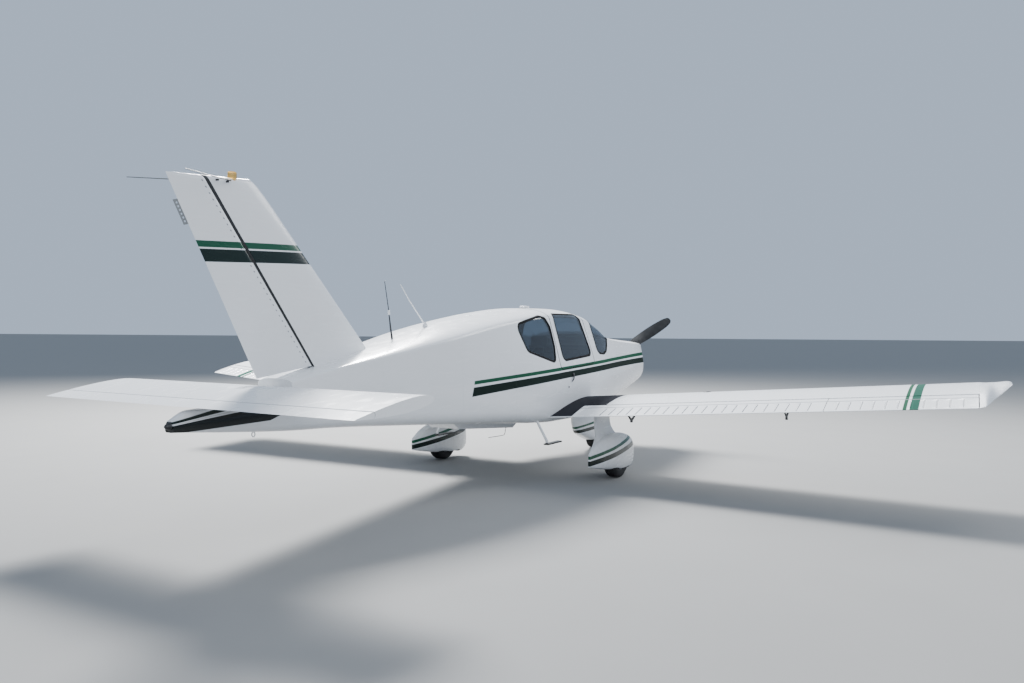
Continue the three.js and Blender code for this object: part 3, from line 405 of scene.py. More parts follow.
def joints(across, lines, width=0.0016):
    """Depth of the joints between sheets."""
    depth = None
    for line in lines:
        groove = (across - line).size().between(width * 1.6, width * 0.4)
        depth = groove if depth is None else depth.most(groove)
    return depth * -0.5


def body_stripes(finish, x, y, z):
    """Two stripes along the body, each edge rising towards the nose along a parabola."""
    run = x + 2.0
    square = run * run
    thin_top = square * -0.0022 + run * 0.0532 + 1.113
    thin_low = square * -0.0024 + run * 0.0518 + 1.0784
    thick_top = square * -0.0039 + run * 0.0591 + 1.0512
    thick_low = square * -0.0062 + run * 0.0723 + 0.9647
    cut = (x + (z - 1.08) * -0.3).between(-1.862, -1.858)
    nose = x.between(2.66, 2.64)
    return [(band(z, thin_low, thin_top) * cut * nose, GREEN),
            (band(z, thick_low, thick_top) * cut * nose, DARK_GREEN),
            (cone_wedge(x, z) * x.between(-3.4, -3.5), BLACK_GREEN)]


def body_seams(finish, x, y, z):
    """Rows of rivets round the body at its frames, with a sheet joint at every other one."""
    frames = (-3.45, -2.98, -2.5, -2.02, -1.2, -0.86)
    rows = rivets(finish, x, z, frames)
    return rows + joints(x, frames[1::2])


def cowl_seams(finish, x, y, z):
    """The leaning joint between the cowl and its nose bowl."""
    return joints(x + z * 0.182, (1.736,), 0.0024)


def covered_by(marks):
    """A function that gives the mask of all that a list of marks covers."""
    def mask(finish, x, y, z):
        whole, *others = [each[0] for each in marks(finish, x, y, z)]
        for other in others:
            whole = whole.most(other)
        return whole

    return mask


def cone_wedge(x, z):
    """The black wedge that starts at the cone's tip and ends in a point under the tailplane."""
    run = x - CONE_END_X
    line = run * 0.135 + 0.952
    low = (line - run * 0.085 - 0.060).most(run * 0.38 + 0.652)
    return band(z, low, line - run * 0.012 - 0.004)


def cone_bands(finish, x, y, z):
    """Bands that start together at the cone's tip and spread forwards."""
    run = x - CONE_END_X
    line = run * 0.135 + 0.952
    dark = cone_wedge(x, z)
    thin = band(z, line + run * 0.024 + 0.006, line + run * 0.066 + 0.022) * x.between(-4.20, -4.26)
    silver = band(z, line - run * 0.006, line + run * 0.012 + 0.003)
    return [(thin, DARK_GREEN), (silver, (0.55, 0.56, 0.57, 1)), (dark, BLACK_GREEN)]


def tail_stripes(finish, x, y, z):
    """Two stripes across the fin and the rudder, and the row of rivets behind the rudder's hinge."""
    lean = (x + 4.569) * 0.0526
    behind = x + z * RUDDER_SWEEP
    heads = rivets(finish, behind, z, (RUDDER_RIVETS,), 0.040, 0.0060) * 2.8
    return [(heads, (0.12, 0.13, 0.15, 1)), (band(z - lean, 2.161, 2.207), GREEN),
            (band(z - lean, 2.060, 2.150), DARK_GREEN)]


def tail_seams(finish, x, y, z):
    """Level rows of rivets up the vertical tail, with a faint joint at every other one."""
    levels = (1.62, 1.86, 2.04, 2.27, 2.46)
    return rivets(finish, z, x, levels) + joints(z, levels[1::2]) * 0.5


def wing_stripes(finish, x, y, z):
    """Two stripes along the chord, each between two distances from the centre plane."""
    span = y.size()
    return [(band(span, 4.063, 4.094), GREEN), (band(span, 4.117, 4.187), TEAL)]


WALK_INNER = 0.40


def walkway(finish, x, y, z):
    """Mask of the non-skid strip beside the cabin down to the trailing edge, wider ahead of the flap."""
    span = y.size()
    edge = 0.003
    ahead = band(x, -0.240, 0.41, edge) * band(span, WALK_INNER, 1.155, edge)
    aft = band(x, -0.60, -0.235, edge) * band(span, WALK_INNER, 0.905, edge)
    upper = (z - (x - WING_TE_X) * 0.0577 - span * 0.0787).between(0.625, 0.632)
    return ahead.most(aft) * upper


def wing_marks(finish, x, y, z):
    """The stripes, and the non-skid strip with its grain."""
    grain = finish.noise(600.0, 2.0)
    non_skid = finish.mix(grain, (0.002, 0.003, 0.008, 1), (0.008, 0.009, 0.016, 1))
    return [*wing_stripes(finish, x, y, z), (walkway(finish, x, y, z), non_skid)]


def wing_matt(finish, x, y, z):
    """Mask of what has no gloss on the wing: the non-skid strip and the stripes."""
    return walkway(finish, x, y, z).most(covered_by(wing_stripes)(finish, x, y, z))


def groove_shade_lines(x, y, first, pitch, last):
    """Mask of the painted shade on the inner side of each pressed groove, from one span to another."""
    span = (y.size() + 0.003) / math.cos(DIHEDRAL)
    off = (((span - (first - 0.004)) / pitch).part() - 0.5).size() * pitch
    return off.between(0.0065, 0.0030) * band(span, first, last) * band(x, -0.560, -0.362)


def surface_marks(finish, x, y, z):
    """The painted shade in the grooves, the stripes, and the painted shade along the joint behind the
    surface's covered nose.
    """
    flap = groove_shade_lines(x, y, FLAP_GROOVES, FLAP_PITCH, FLAP_OUTER - 0.08)
    aileron = groove_shade_lines(x, y, AILERON_GROOVES, AILERON_PITCH, TIP_JOINT - 0.06)
    return [(flap.most(aileron), SHADE), *wing_stripes(finish, x, y, z),
            (band(x, -0.344, -0.331, 0.003), SHADE)]


def wing_seams(finish, x, y, z):
    """Rivets along the ribs and the spars, and the joints between the sheets."""
    span = y.size()
    joins = (0.93, 2.05, 3.37)
    ribs = (1.48, 2.62, 3.9)
    spars = (0.42, 0.20, -0.12)
    return (rivets(finish, span, x, joins + ribs) + rivets(finish, x, span, spars)
            + joints(span, joins))


def spat_stripes(finish, x, y, z):
    """Two stripes that rise forwards round a wheel fairing."""
    run = x + 0.64
    thin = run * 0.16 + 0.285
    thick = run * 0.13 + 0.252
    return [(band(z, thin - 0.017, thin + 0.018), GREEN), (band(z, thick - 0.054, thick), DARK_GREEN)]


def leg_seams(finish, x, y, z):
    """The joint between the two halves of a leg's fairing, with its row of screws."""
    return joints(x, (-0.17,), 0.003) + rivets(finish, x, z, (-0.20,), 0.075, 0.006) * -1.0


def nose_spat_stripes(finish, x, y, z):
    """Two stripes that rise forwards round the nose wheel's fairing."""
    run = x - 1.29
    thin = run * 0.10 + 0.325
    thick = run * 0.07 + 0.290
    return [(band(z, thin - 0.014, thin + 0.016), GREEN), (band(z, thick - 0.044, thick + 0.002), DARK_GREEN)]


def step_marks(finish, x, y, z):
    """The black tread at the foot of a boarding step."""
    return [(band(z, -0.1, 0.425), (0.008, 0.008, 0.009, 1))]


def stabilator_seams(finish, x, y, z):
    """Rivets along the tailplane's ribs."""
    return rivets(finish, y.size(), x, (0.5, 1.0, 1.45))


def plain(name, colour, roughness, variation=0.25, scale=60.0, bump=0.0, metallic=0.0, **more):
    """A finish whose colour and roughness vary a little, with a fine grain where bump is given."""
    finish = Finish(name, Metallic=metallic, **more)
    patches = finish.noise(scale * 0.15, 4.0)
    grain = finish.noise(scale, 5.0)
    darker = tuple(c * (1 - variation) for c in colour[:3]) + (1,)
    finish.colour(finish.mix(patches.between(0.3, 0.7), darker, colour))
    finish.feed(finish.shader, "Roughness", grain * 0.16 + (roughness - 0.08))
    if bump:
        finish.bump(grain, bump)
    return finish.material


def glass(name, colour, roughness=0.02):
    """Clear sheet that is seen through and mirrors the light, with the faintest haze of wear."""
    finish = Finish(name, IOR=1.45, Transmission_Weight=1.0)
    haze = finish.noise(14.0, 5.0).between(0.5, 0.9)
    finish.colour(finish.mix(haze * 0.2, colour, tuple(c * 0.85 for c in colour[:3]) + (1,)))
    finish.feed(finish.shader, "Roughness", haze * 0.05 + roughness)
    return finish.material


MATERIALS = {
    "body": paint("body_paint", body_stripes, body_seams, covered_by(body_stripes)),
    "cowl": paint("cowl_paint", body_stripes, cowl_seams, covered_by(body_stripes)),
    "cone": paint("cone_paint", cone_bands),
    "tail": paint("tail_paint", tail_stripes, tail_seams),
    "wing": paint("wing_paint", wing_marks, wing_seams, wing_matt),
    "surface": paint("surface_paint", surface_marks, None, covered_by(wing_stripes)),
    "tip": paint("tip_paint", wing_stripes, None, covered_by(wing_stripes)),
    "step": paint("step_paint", step_marks),
    "stabilator": paint("stabilator_paint", None, stabilator_seams),
    "white": paint("plain_white_paint"),
    "spat": paint("spat_paint", spat_stripes),
    "leg": paint("leg_paint", None, leg_seams),
    "nose_spat": paint("nose_spat_paint", nose_spat_stripes),
    "lining": plain("cabin_lining", (0.13, 0.13, 0.128, 1), 0.75, 0.12, 220.0, 0.0004),
    "glass": glass("tinted_acrylic", (0.34, 0.40, 0.45, 1)),
    "amber": glass("amber_lens", (0.93, 0.54, 0.14, 1), 0.18),
    "seal": plain("rubber_seal", (0.004, 0.004, 0.005, 1), 0.80, 0.3, 90.0, 0.0003, Specular_IOR_Level=0.2),
    "rubber": plain("tyre_rubber", (0.020, 0.020, 0.021, 1), 0.82, 0.35, 140.0, 0.0008),
    "hub": plain("wheel_hub", (0.42, 0.43, 0.44, 1), 0.38, 0.2, 80.0, 0.0002, metallic=0.85),
    "steel": plain("gear_steel", (0.36, 0.37, 0.38, 1), 0.38, 0.25, 70.0, 0.0002, metallic=0.8),
    "grey": plain("grey_paint", (0.20, 0.215, 0.225, 1), 0.42, 0.2, 50.0, 0.0002),
    "dark": plain("dark_paint", (0.020, 0.021, 0.023, 1), 0.42, 0.3, 70.0, 0.0003),
    "blade": plain("blade_paint", (0.030, 0.032, 0.036, 1), 0.36, 0.3, 60.0, 0.0002),
    "panel": plain("panel_black", (0.018, 0.018, 0.020, 1), 0.6, 0.3, 260.0, 0.0005),
    "exhaust": plain("exhaust_metal", (0.22, 0.17, 0.13, 1), 0.55, 0.5, 30.0, 0.0004, metallic=0.85),
    "engine": plain("engine_metal", (0.15, 0.15, 0.155, 1), 0.6, 0.4, 40.0, 0.002, metallic=0.6),
    "cloth": plain("seat_cloth", (0.070, 0.073, 0.080, 1), 0.9, 0.3, 900.0, 0.0012),
    "brown": plain("bench_cloth", (0.115, 0.095, 0.082, 1), 0.9, 0.3, 900.0, 0.0012),
    "dial": plain("dial_face", (0.55, 0.55, 0.52, 1), 0.5, 0.1, 60.0),
    "dial_black": plain("dial_black", (0.02, 0.02, 0.022, 1), 0.8, 0.2, 60.0),
}


# Surfaces under construction

class Surface:
    """Points and faces; a face of three corners has -1 as its fourth. kind picks each face's material."""

    def __init__(self, points, faces, kind=None):
        self.points = points
        self.faces = faces
        self.kind = np.zeros(len(faces), int) if kind is None else kind

    def joined(self, *others):
        """This surface and others as one."""
        points, faces, kinds, count = [self.points], [self.faces], [self.kind], len(self.points)
        for other in others:
            points.append(other.points)
            faces.append(np.where(other.faces >= 0, other.faces + count, -1))
            kinds.append(other.kind)
            count += len(other.points)
        return Surface(np.vstack(points), np.vstack(faces), np.concatenate(kinds))

    def turned(self):
        """The same surface facing the other way."""
        triangle = self.faces[:, 3] < 0
        faces = self.faces[:, ::-1].copy()
        faces[triangle] = np.column_stack([self.faces[triangle][:, [2, 1, 0]], -np.ones(triangle.sum(), int)])
        return Surface(self.points, faces, self.kind)

    def mirrored(self):
        """The same surface on the other side of the centre plane."""
        return Surface(self.points * (1, -1, 1), self.faces, self.kind).turned()

    def both(self):
        """The surface and its mirror image as one."""
        return self.joined(self.mirrored())

    def marked(self, kind):
        """The same surface with every face of one kind."""
        return Surface(self.points, self.faces, np.full(len(self.faces), kind))

    def outward(self):
        """The same surface, turned if the room it encloses comes out negative."""
        last = np.where(self.faces[:, 3] < 0, self.faces[:, 2], self.faces[:, 3])
        a, b, c = (self.points[self.faces[:, i]] for i in range(3))
        d = self.points[last]
        room = (a * (np.cross(b, c) + np.cross(c, d))).sum()
        return self if room > 0 else self.turned()

    def normals(self):
        """Normals at the points: the sum of the crossed diagonals of the faces round each."""
        last = np.where(self.faces[:, 3] < 0, self.faces[:, 2], self.faces[:, 3])
        a, b, c = (self.points[self.faces[:, i]] for i in range(3))
        across = np.cross(c - a, self.points[last] - b)
        flat = self.faces[:, 3] < 0
        across[flat] = np.cross(b - a, c - a)[flat]
        total = np.zeros_like(self.points)
        for corners in self.faces[:, :3].T:
            np.add.at(total, corners, across)
        np.add.at(total, last[~flat], across[~flat])
        return total / np.maximum(np.linalg.norm(total, axis=1, keepdims=True), 1e-12)

    def open_edges(self):
        """Start and end of the edges with a face on one side only, in the order of that face."""
        count = len(self.points)
        starts, ends = [], []
        for four, sides in ((True, 4), (False, 3)):
            some = self.faces[(self.faces[:, 3] >= 0) == four][:, :sides]
            starts.append(some.reshape(-1))
            ends.append(np.roll(some, -1, 1).reshape(-1))
        start, end = np.concatenate(starts), np.concatenate(ends)
        start, end = start[start != end], end[start != end]
        lone = ~np.isin(start * count + end, end * count + start)
        return start[lone], end[lone]

    def rims(self, pitch=0.012):
        """The open edges as loops of evenly spaced points, each with the surface's normals there."""
        whole = self.welded()
        normal = whole.normals()
        follow = dict(zip(*(part.tolist() for part in whole.open_edges())))
        loops = []
        while follow:
            loop = [next(iter(follow))]
            while loop[-1] in follow:
                loop.append(follow.pop(loop[-1]))
            both = np.hstack([whole.points[loop], normal[loop]])
            walked = np.concatenate([[0], np.cumsum(np.linalg.norm(np.diff(both[:, :3], axis=0), axis=1))])
            even = np.linspace(0, walked[-1], max(int(walked[-1] / pitch), 8), endpoint=False)
            loops.append(np.stack([np.interp(even, walked, column) for column in both.T], 1))
        return [(loop[:, :3], loop[:, 3:]) for loop in loops]

    def trimmed(self, field):
        """What lies where the field is below zero; faces that cross zero are cut along it."""
        level = field(*self.points.T)
        level = np.where(np.abs(level) < 1e-6, -1e-6, level)
        corner = np.where(self.faces < 0, self.faces[:, :1], self.faces)
        out = (level[corner] > 0).sum(1)
        crossing = (out > 0) & (level[corner].min(1) < 0)
        whole = out == 0
        cut, cut_kind = self.faces[crossing], self.kind[crossing]
        four = cut[:, 3] >= 0
        tris = np.vstack([cut[:, :3], cut[four][:, [0, 2, 3]]])
        kinds = np.concatenate([cut_kind, cut_kind[four]])
        above = level[tris] > 0
        count = above.sum(1)
        kept = np.column_stack([tris[count == 0], -np.ones((count == 0).sum(), int)])
        points, faces, found = self.points, [self.faces[whole], kept], [self.kind[whole], kinds[count == 0]]
        for odd in (1, 2):
            chosen = count == odd
            if not chosen.any():
                continue
            some, up = tris[chosen], above[chosen]
            lone = np.argmax(up if odd == 1 else ~up, axis=1)
            a, b, c = (np.take_along_axis(some, ((lone + k) % 3)[:, None], 1)[:, 0] for k in range(3))
            edges = np.sort(np.concatenate([np.stack([a, b], 1), np.stack([a, c], 1)]), 1)
            unique, place = np.unique(edges, axis=0, return_inverse=True)
            share = level[unique[:, 0]] / (level[unique[:, 0]] - level[unique[:, 1]])
            first, second = self.points[unique[:, 0]], self.points[unique[:, 1]]
            ab, ac = np.split(place.reshape(-1) + len(points), 2)
            points = np.vstack([points, first + share[:, None] * (second - first)])
            if odd == 1:
                faces.append(np.stack([ab, b, c, ac], 1))
            else:
                faces.append(np.stack([a, ab, ac, -np.ones(len(a), int)], 1))
            found.append(kinds[chosen])
        return Surface(points, np.vstack(faces), np.concatenate(found)).welded()

    def welded(self, apart=1e-6):
        """Points in one place become one, and unused points go."""
        used, faces = np.unique(self.faces[self.faces >= 0], return_inverse=True)
        keys = np.round(self.points[used] / apart).astype(np.int64)
        _, first, same = np.unique(keys, axis=0, return_index=True, return_inverse=True)
        new = np.full(self.faces.shape, -1)
        new[self.faces >= 0] = same.reshape(-1)[faces.reshape(-1)]
        return Surface(self.points[used][first], new, self.kind)

    def thick(self, wall, lining=1):
        """A closed wall: the surface, its copy set in by the wall, and the edges between them."""
        whole = self.welded()
        count = len(whole.points)
        inside = Surface(whole.points - whole.normals() * wall, whole.faces).turned()
        start, end = whole.open_edges()
        rim = np.stack([end, start, start + count, end + count], 1)
        return Surface(np.vstack([whole.points, inside.points]),
                       np.vstack([whole.faces, np.where(inside.faces >= 0, inside.faces + count, -1), rim]),
                       np.concatenate([whole.kind, np.full(len(inside.faces) + len(rim), lining)]))


def patch(function, u, v, round_u=False, round_v=False):
    """The grid of function(u, v); it faces along the turn from growing u to growing v."""
    grid = np.meshgrid(u, v, indexing="ij")
    points = np.stack(np.broadcast_arrays(*function(*grid)), -1).reshape(-1, 3).astype(float)
    index = np.arange(len(u) * len(v)).reshape(len(u), len(v))
    if round_v:
        index = np.hstack([index, index[:, :1]])
    if round_u:
        index = np.vstack([index, index[:1]])
    faces = np.stack([index[:-1, :-1], index[1:, :-1], index[1:, 1:], index[:-1, 1:]], -1).reshape(-1, 4)
    return Surface(points, faces)


def lofted(rings, caps=True, closed=False):
    """A skin through rings of points, its ends closed at their middles, facing outwards."""
    rings = np.asarray(rings, float)
    rows, columns = rings.shape[:2]
    skin = patch(lambda i, j: np.moveaxis(rings[i, j], -1, 0), np.arange(rows), np.arange(columns),
                 closed, True)
    if caps and not closed:
        ring = np.arange(columns)
        after = np.roll(ring, -1)
        count = len(skin.points)
        none = np.full(columns, -1)
        last = (rows - 1) * columns
        first_end = np.stack([np.full(columns, count), ring, after, none], 1)
        last_end = np.stack([np.full(columns, count + 1), last + after, last + ring, none], 1)
        skin = Surface(np.vstack([skin.points, rings[0].mean(0), rings[-1].mean(0)]),
                       np.vstack([skin.faces, first_end, last_end]))
    return skin.outward()


def sweep(path, radius, sides=10, flat=1.0, normals=None, closed=False):
    """A bar along a path: an ellipse square to the path at each point, flat times as high as wide, whose
    height lies along the normals."""
    path = np.asarray(path, float)
    radius = np.broadcast_to(radius, len(path)).astype(float)
    if closed:
        ahead = np.roll(path, -1, 0) - np.roll(path, 1, 0)
    else:
        ahead = np.gradient(path, axis=0)
    ahead /= np.linalg.norm(ahead, axis=1, keepdims=True)
    if normals is None:
        guide = np.array([0, 0, 1.0]) if np.abs(ahead[:, 2]).mean() < 0.9 else np.array([0, 1.0, 0])
        normals = np.broadcast_to(guide, path.shape)
    wide = np.cross(ahead, normals)
    wide /= np.linalg.norm(wide, axis=1, keepdims=True)
    high = np.cross(wide, ahead)
    turn = np.linspace(0, 2 * np.pi, sides, endpoint=False)
    ring = wide[:, None] * np.cos(turn)[None, :, None] + high[:, None] * (flat * np.sin(turn))[None, :, None]
    return lofted(path[:, None] + ring * radius[:, None, None], closed=closed)


def spun(profile, segments=64, axis="y", centre=(0, 0, 0)):
    """A profile of (place along the axis, radius) carried round the axis; it faces away from the axis where
    the profile runs along it."""
    along, radius = np.array(profile, float).T
    turn = np.linspace(0, 2 * np.pi, segments, endpoint=False)
    a, r = along[:, None] + 0 * turn, radius[:, None]
    order = {"x": (a, r * np.cos(turn), r * np.sin(turn)),
             "y": (r * np.sin(turn), a, r * np.cos(turn)),
             "z": (r * np.cos(turn), r * np.sin(turn), a)}[axis]
    rings = np.stack(order, -1) + np.array(centre, float)
    return patch(lambda i, j: np.moveaxis(rings[i, j], -1, 0), np.arange(len(profile)), np.arange(segments),
                 False, True).turned()


def rounded_box(low, high, radius, steps=4):
    """A box whose edges and corners are parts of circles: a ball pulled apart into eight corners."""
    low, high = np.array(low, float), np.array(high, float)
    turn = np.radians(np.concatenate([np.linspace(q, q + 90, steps + 1) for q in (0, 90, 180, 270)]))
    rise = np.concatenate([np.linspace(-90, 0, steps + 1), np.linspace(0, 90, steps + 1)])
    lift = np.radians(rise)[:, None]
    side = np.repeat([0, 1, 2, 3], steps + 1)
    sign_x, sign_y = np.array([1, -1, -1, 1])[side], np.array([1, 1, -1, -1])[side]
    sign_z = np.repeat([-1, 1], steps + 1)[:, None]
    centre, half = (low + high) / 2, (high - low) / 2 - radius
    out = radius * np.cos(lift)
    x = centre[0] + sign_x * half[0] + out * np.cos(turn)
    y = centre[1] + sign_y * half[1] + out * np.sin(turn)
    z = centre[2] + sign_z * half[2] + radius * np.sin(lift)
    return lofted(np.stack(np.broadcast_arrays(x, y, z), -1))


def prism(outline, y0, y1, bevel=0.0015):
    """A plate with a side-view outline of x and z, its edges slightly rounded."""
    points = np.array(outline, float)
    middle = points.mean(0)
    size = np.linalg.norm(points - middle, axis=1).max()
    rings = []
    for y, share in ((y0, bevel / size), (y0 + bevel, 0), (y1 - bevel, 0), (y1, bevel / size)):
        flat = points + (middle - points) * share
        rings.append(np.stack([flat[:, 0], np.full(len(flat), y), flat[:, 1]], 1))
    return lofted(rings)


SHARP_ANGLE = math.radians(32)


def add(name, surface, materials, body, stands_for=()):
    """Makes a surface a piece of the aircraft that rides on a body."""
    mesh = bpy.data.meshes.new(name)
    four = surface.faces[:, 3] >= 0
    faces = surface.faces[four].tolist() + surface.faces[~four][:, :3].tolist()
    mesh.from_pydata(surface.points + (AXLE_X, 0, 0), [], faces)
    names = [materials] if isinstance(materials, str) else materials
    for each in names:
        mesh.materials.append(MATERIALS[each])
    kind = np.concatenate([surface.kind[four], surface.kind[~four]])
    mesh.polygons.foreach_set("material_index", np.minimum(kind, len(names) - 1).astype(np.int32))
    mesh.polygons.foreach_set("use_smooth", np.ones(len(faces), bool))
    shape = bmesh.new()
    shape.from_mesh(mesh)
    bmesh.ops.remove_doubles(shape, verts=shape.verts, dist=2e-6)
    shape.to_mesh(mesh)
    shape.free()
    mesh.set_sharp_from_angle(angle=SHARP_ANGLE)
    made = bpy.data.objects.new(name, mesh)
    bpy.context.scene.collection.objects.link(made)
    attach(made, body)
    if stands_for:
        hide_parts(*([stands_for] if isinstance(stands_for, str) else stands_for))
    return made


SIDES = (("left", lambda surface: surface), ("right", Surface.mirrored))


# Outlines in side view

def shrunk(corners, distance):
    """A convex outline with its edges moved inwards by a distance."""
    points = np.array(corners, float)
    ahead = np.roll(points, -1, 0) - points
    ahead /= np.linalg.norm(ahead, axis=1, keepdims=True)
    normal = np.stack([-ahead[:, 1], ahead[:, 0]], 1)
    if ((points.mean(0) - points[0]) * normal[0]).sum() < 0:
        normal = -normal
    level = (normal * points).sum(1) + distance
    before, before_level = np.roll(normal, 1, 0), np.roll(level, 1)
    det = before[:, 0] * normal[:, 1] - before[:, 1] * normal[:, 0]
    return np.stack([(before_level * normal[:, 1] - level * before[:, 1]) / det,
                     (before[:, 0] * level - normal[:, 0] * before_level) / det], 1)


def outline_field(corners, radius=0.0, inset=0.0):
    """Distance to a convex outline with round corners, below zero inside: the distance to the outline shrunk
    by the radius, less the radius."""
    core = shrunk(corners, inset + radius)
    ahead = np.roll(core, -1, 0) - core
    length = np.linalg.norm(ahead, axis=1)
    outward = np.stack([ahead[:, 1], -ahead[:, 0]], 1) / length[:, None]
    if ((core.mean(0) - core[0]) * outward[0]).sum() > 0:
        outward = -outward

    def field(x, y, z):
        place = np.stack([x, z], -1)[:, None] - core[None]
        side = (place * outward).sum(-1).max(-1)
        share = np.clip((place * ahead).sum(-1) / length ** 2, 0, 1)
        gap = np.linalg.norm(place - share[..., None] * ahead, axis=-1).min(-1)
        return np.where(side < 0, side, gap) - radius
    return field


# The body's skin

def smooth_rows(table, x):
    """Columns of a table at stations x: cubic pieces through its rows, with the harmonic mean of the slopes
    beside each row, and level where those differ in sign."""
    rows = table if table[0, 0] < table[-1, 0] else table[::-1]
    place, value = rows[:, 0], rows[:, 1:]
    slope = np.diff(value, axis=0) / np.diff(place)[:, None]
    before, after = slope[:-1], slope[1:]
    same = before * after > 0
    inner = np.where(same, 2 * before * after / np.where(same, before + after, 1), 0)
    tangent = np.vstack([slope[:1], inner, slope[-1:]])
    x = np.asarray(x, float)
    i = np.clip(np.searchsorted(place, x) - 1, 0, len(place) - 2)
    h = (place[i + 1] - place[i])[..., None]
    t = (x[..., None] - place[i][..., None]) / h
    rise = t * t * (3 - 2 * t) * (value[i + 1] - value[i])
    bend = h * (t * (1 - t) ** 2 * tangent[i] - t * t * (1 - t) * tangent[i + 1])
    return np.moveaxis(value[i] + rise + bend, -1, 0)


def bezier(t, *points):
    """Points on a Bezier curve, by weights of its corners."""
    degree = len(points) - 1
    return sum(math.comb(degree, k) * (1 - t) ** (degree - k) * t ** k * p for k, p in enumerate(points))


def section(x, v):
    """Half width and height of the body at station x. v runs to 1 along the flat belly, to 2 round the lower
    corner, to 3 up the side and to 4 over the roof; below zero it is the right side. The belly is straight
    and the other three are Bezier curves."""
    bottom, top, half, wide, shoulder, shoulder_z, corner = smooth_rows(BODY, x)
    lean = (shoulder - half) / (shoulder_z - wide)
    eaves = shoulder + lean * (top - shoulder_z)
    rise = ROOF_FULLNESS * (top - shoulder_z)
    s = np.abs(v)
    pick = [s < 1, s < 2, s < 3]
    t = s - np.clip(np.floor(s), 0, 3)
    y = np.select(pick, [t * (half - corner), bezier(t, half - corner, half, half),
                         bezier(t, half, half, half, shoulder)],
                  bezier(t, shoulder, shoulder + lean * rise, ROOF_FULLNESS * eaves, 0.0))
    z = np.select(pick, [bottom + 0 * t, bezier(t, bottom, bottom, bottom + corner),
                         bezier(t, bottom + corner, wide, wide, shoulder_z)],
                  bezier(t, shoulder_z, shoulder_z + rise, top, top))
    return y * np.sign(v), z


def body_point(x, v, inset=0.0):
    """A point of the body's skin, set in square to its outline."""
    y, z = section(x, v)
    if np.any(inset):
        step = 1e-3
        ahead = np.clip(np.abs(v) + step, 0, 3.99999) * np.where(v < 0, -1, 1)
        behind = np.clip(np.abs(v) - step, 1e-6, 4) * np.where(v < 0, -1, 1)
        (y0, z0), (y1, z1) = section(x, behind), section(x, ahead)
        length = np.hypot(y1 - y0, z1 - z0)
        turn = np.where(v < 0, -1, 1)
        y = y - inset * (z1 - z0) / length * turn
        z = z + inset * (y1 - y0) / length * turn
    return x, y, z


def side_place(x, z):
    """The place v on the left side where the skin at station x has height z, by halving."""
    low, high = np.full(np.shape(x), 1.0), np.full(np.shape(x), 3.999)
    for _ in range(26):
        middle = (low + high) / 2
        below = section(x, middle)[1] < z
        low, high = np.where(below, middle, low), np.where(below, high, middle)
    return (low + high) / 2


def skin_y(x, z):
    """Half width of the body at a station and height."""
    return section(x, side_place(x, z))[0]


def ring_places(fine=1.0):
    """Places round the body, closer together where it bends."""
    counts = (int(8 * fine), int(10 * fine), int(40 * fine), int(26 * fine))
    half = np.concatenate([np.linspace(i, i + 1, n, endpoint=False) for i, n in enumerate(counts)])
    return np.concatenate([-half[:0:-1], half, [4.0]])


def stations(front, rear, pitch):
    """Even steps from front to rear, none longer than the pitch."""
    return np.linspace(front, rear, int(math.ceil(abs(front - rear) / pitch)) + 1)


def body_skin(front, rear, pitch=0.02, inset=0.0):
    """The body between two stations, facing outwards."""
    places = ring_places()
    return patch(lambda x, v: body_point(x, v, inset), stations(front, rear, pitch), places, False, True)


def wall_across(x, inset, facing_back):
    """A flat wall across the body at a station, from its middle to the skin."""
    middle = section(np.array(x), np.array(2.5))[1]
    places = ring_places(0.6)

    def point(share, v):
        """A share of the way from the wall's middle out to the skin."""
        _, y, z = body_point(np.full(v.shape, x), v, inset)
        return np.full(v.shape, x), y * share, middle + (z - middle) * share

    wall = patch(point, np.linspace(0, 1, 7), places, False, True)
    return wall.turned() if facing_back else wall


# Cabin and body

def opening(corners, radius, gap):
    """Takes an opening out of both sides of the body, but for a beam of half width gap in the middle."""
    field = outline_field(corners, radius)
    return lambda x, y, z: -np.maximum(field(x, y, z), gap - np.abs(y))


def within(corners, radius, inset, least_y):
    """Keeps what is inside an outline on the left side."""
    field = outline_field(corners, radius, inset)
    return lambda x, y, z: np.maximum(field(x, y, z), least_y - y)


def seals(surface, radius=0.015, flat=0.30, proud=0.002, pitch=0.012):
    """A flat black bead along every open edge of a surface."""
    beads = [sweep(points + normals * proud, radius, 8, flat, normals, closed=True)
             for points, normals in surface.rims(pitch)]
    return beads[0].joined(*beads[1:])


def make_cabin():
    """The body's skin round the cabin, less its openings, with a wall at each end and the roof's vent."""
    skin = body_skin(FIREWALL_X, CABIN_REAR_X)
    for corners, gap in ((DOOR_OUTLINE, ROOF_BEAM), (REAR_WINDOW, 0.2), (SCREEN_OUTLINE, -1.0)):
        skin = skin.trimmed(opening(corners, CORNER, gap))
    firewall = wall_across(FIREWALL_X - 0.001, 0.001, False).marked(1).thick(BULKHEAD)
    bulkhead = wall_across(CABIN_REAR_X + 0.001, 0.001, True).marked(1).thick(BULKHEAD)
    vent = rounded_box((-0.06, -0.04, 1.850), (0.04, 0.04, 1.889), 0.008)
    whole = skin.thick(CABIN_WALL).joined(firewall, bulkhead, vent)
    add("cabin", whole, ["body", "lining"], "airframe", "cabin_shell")


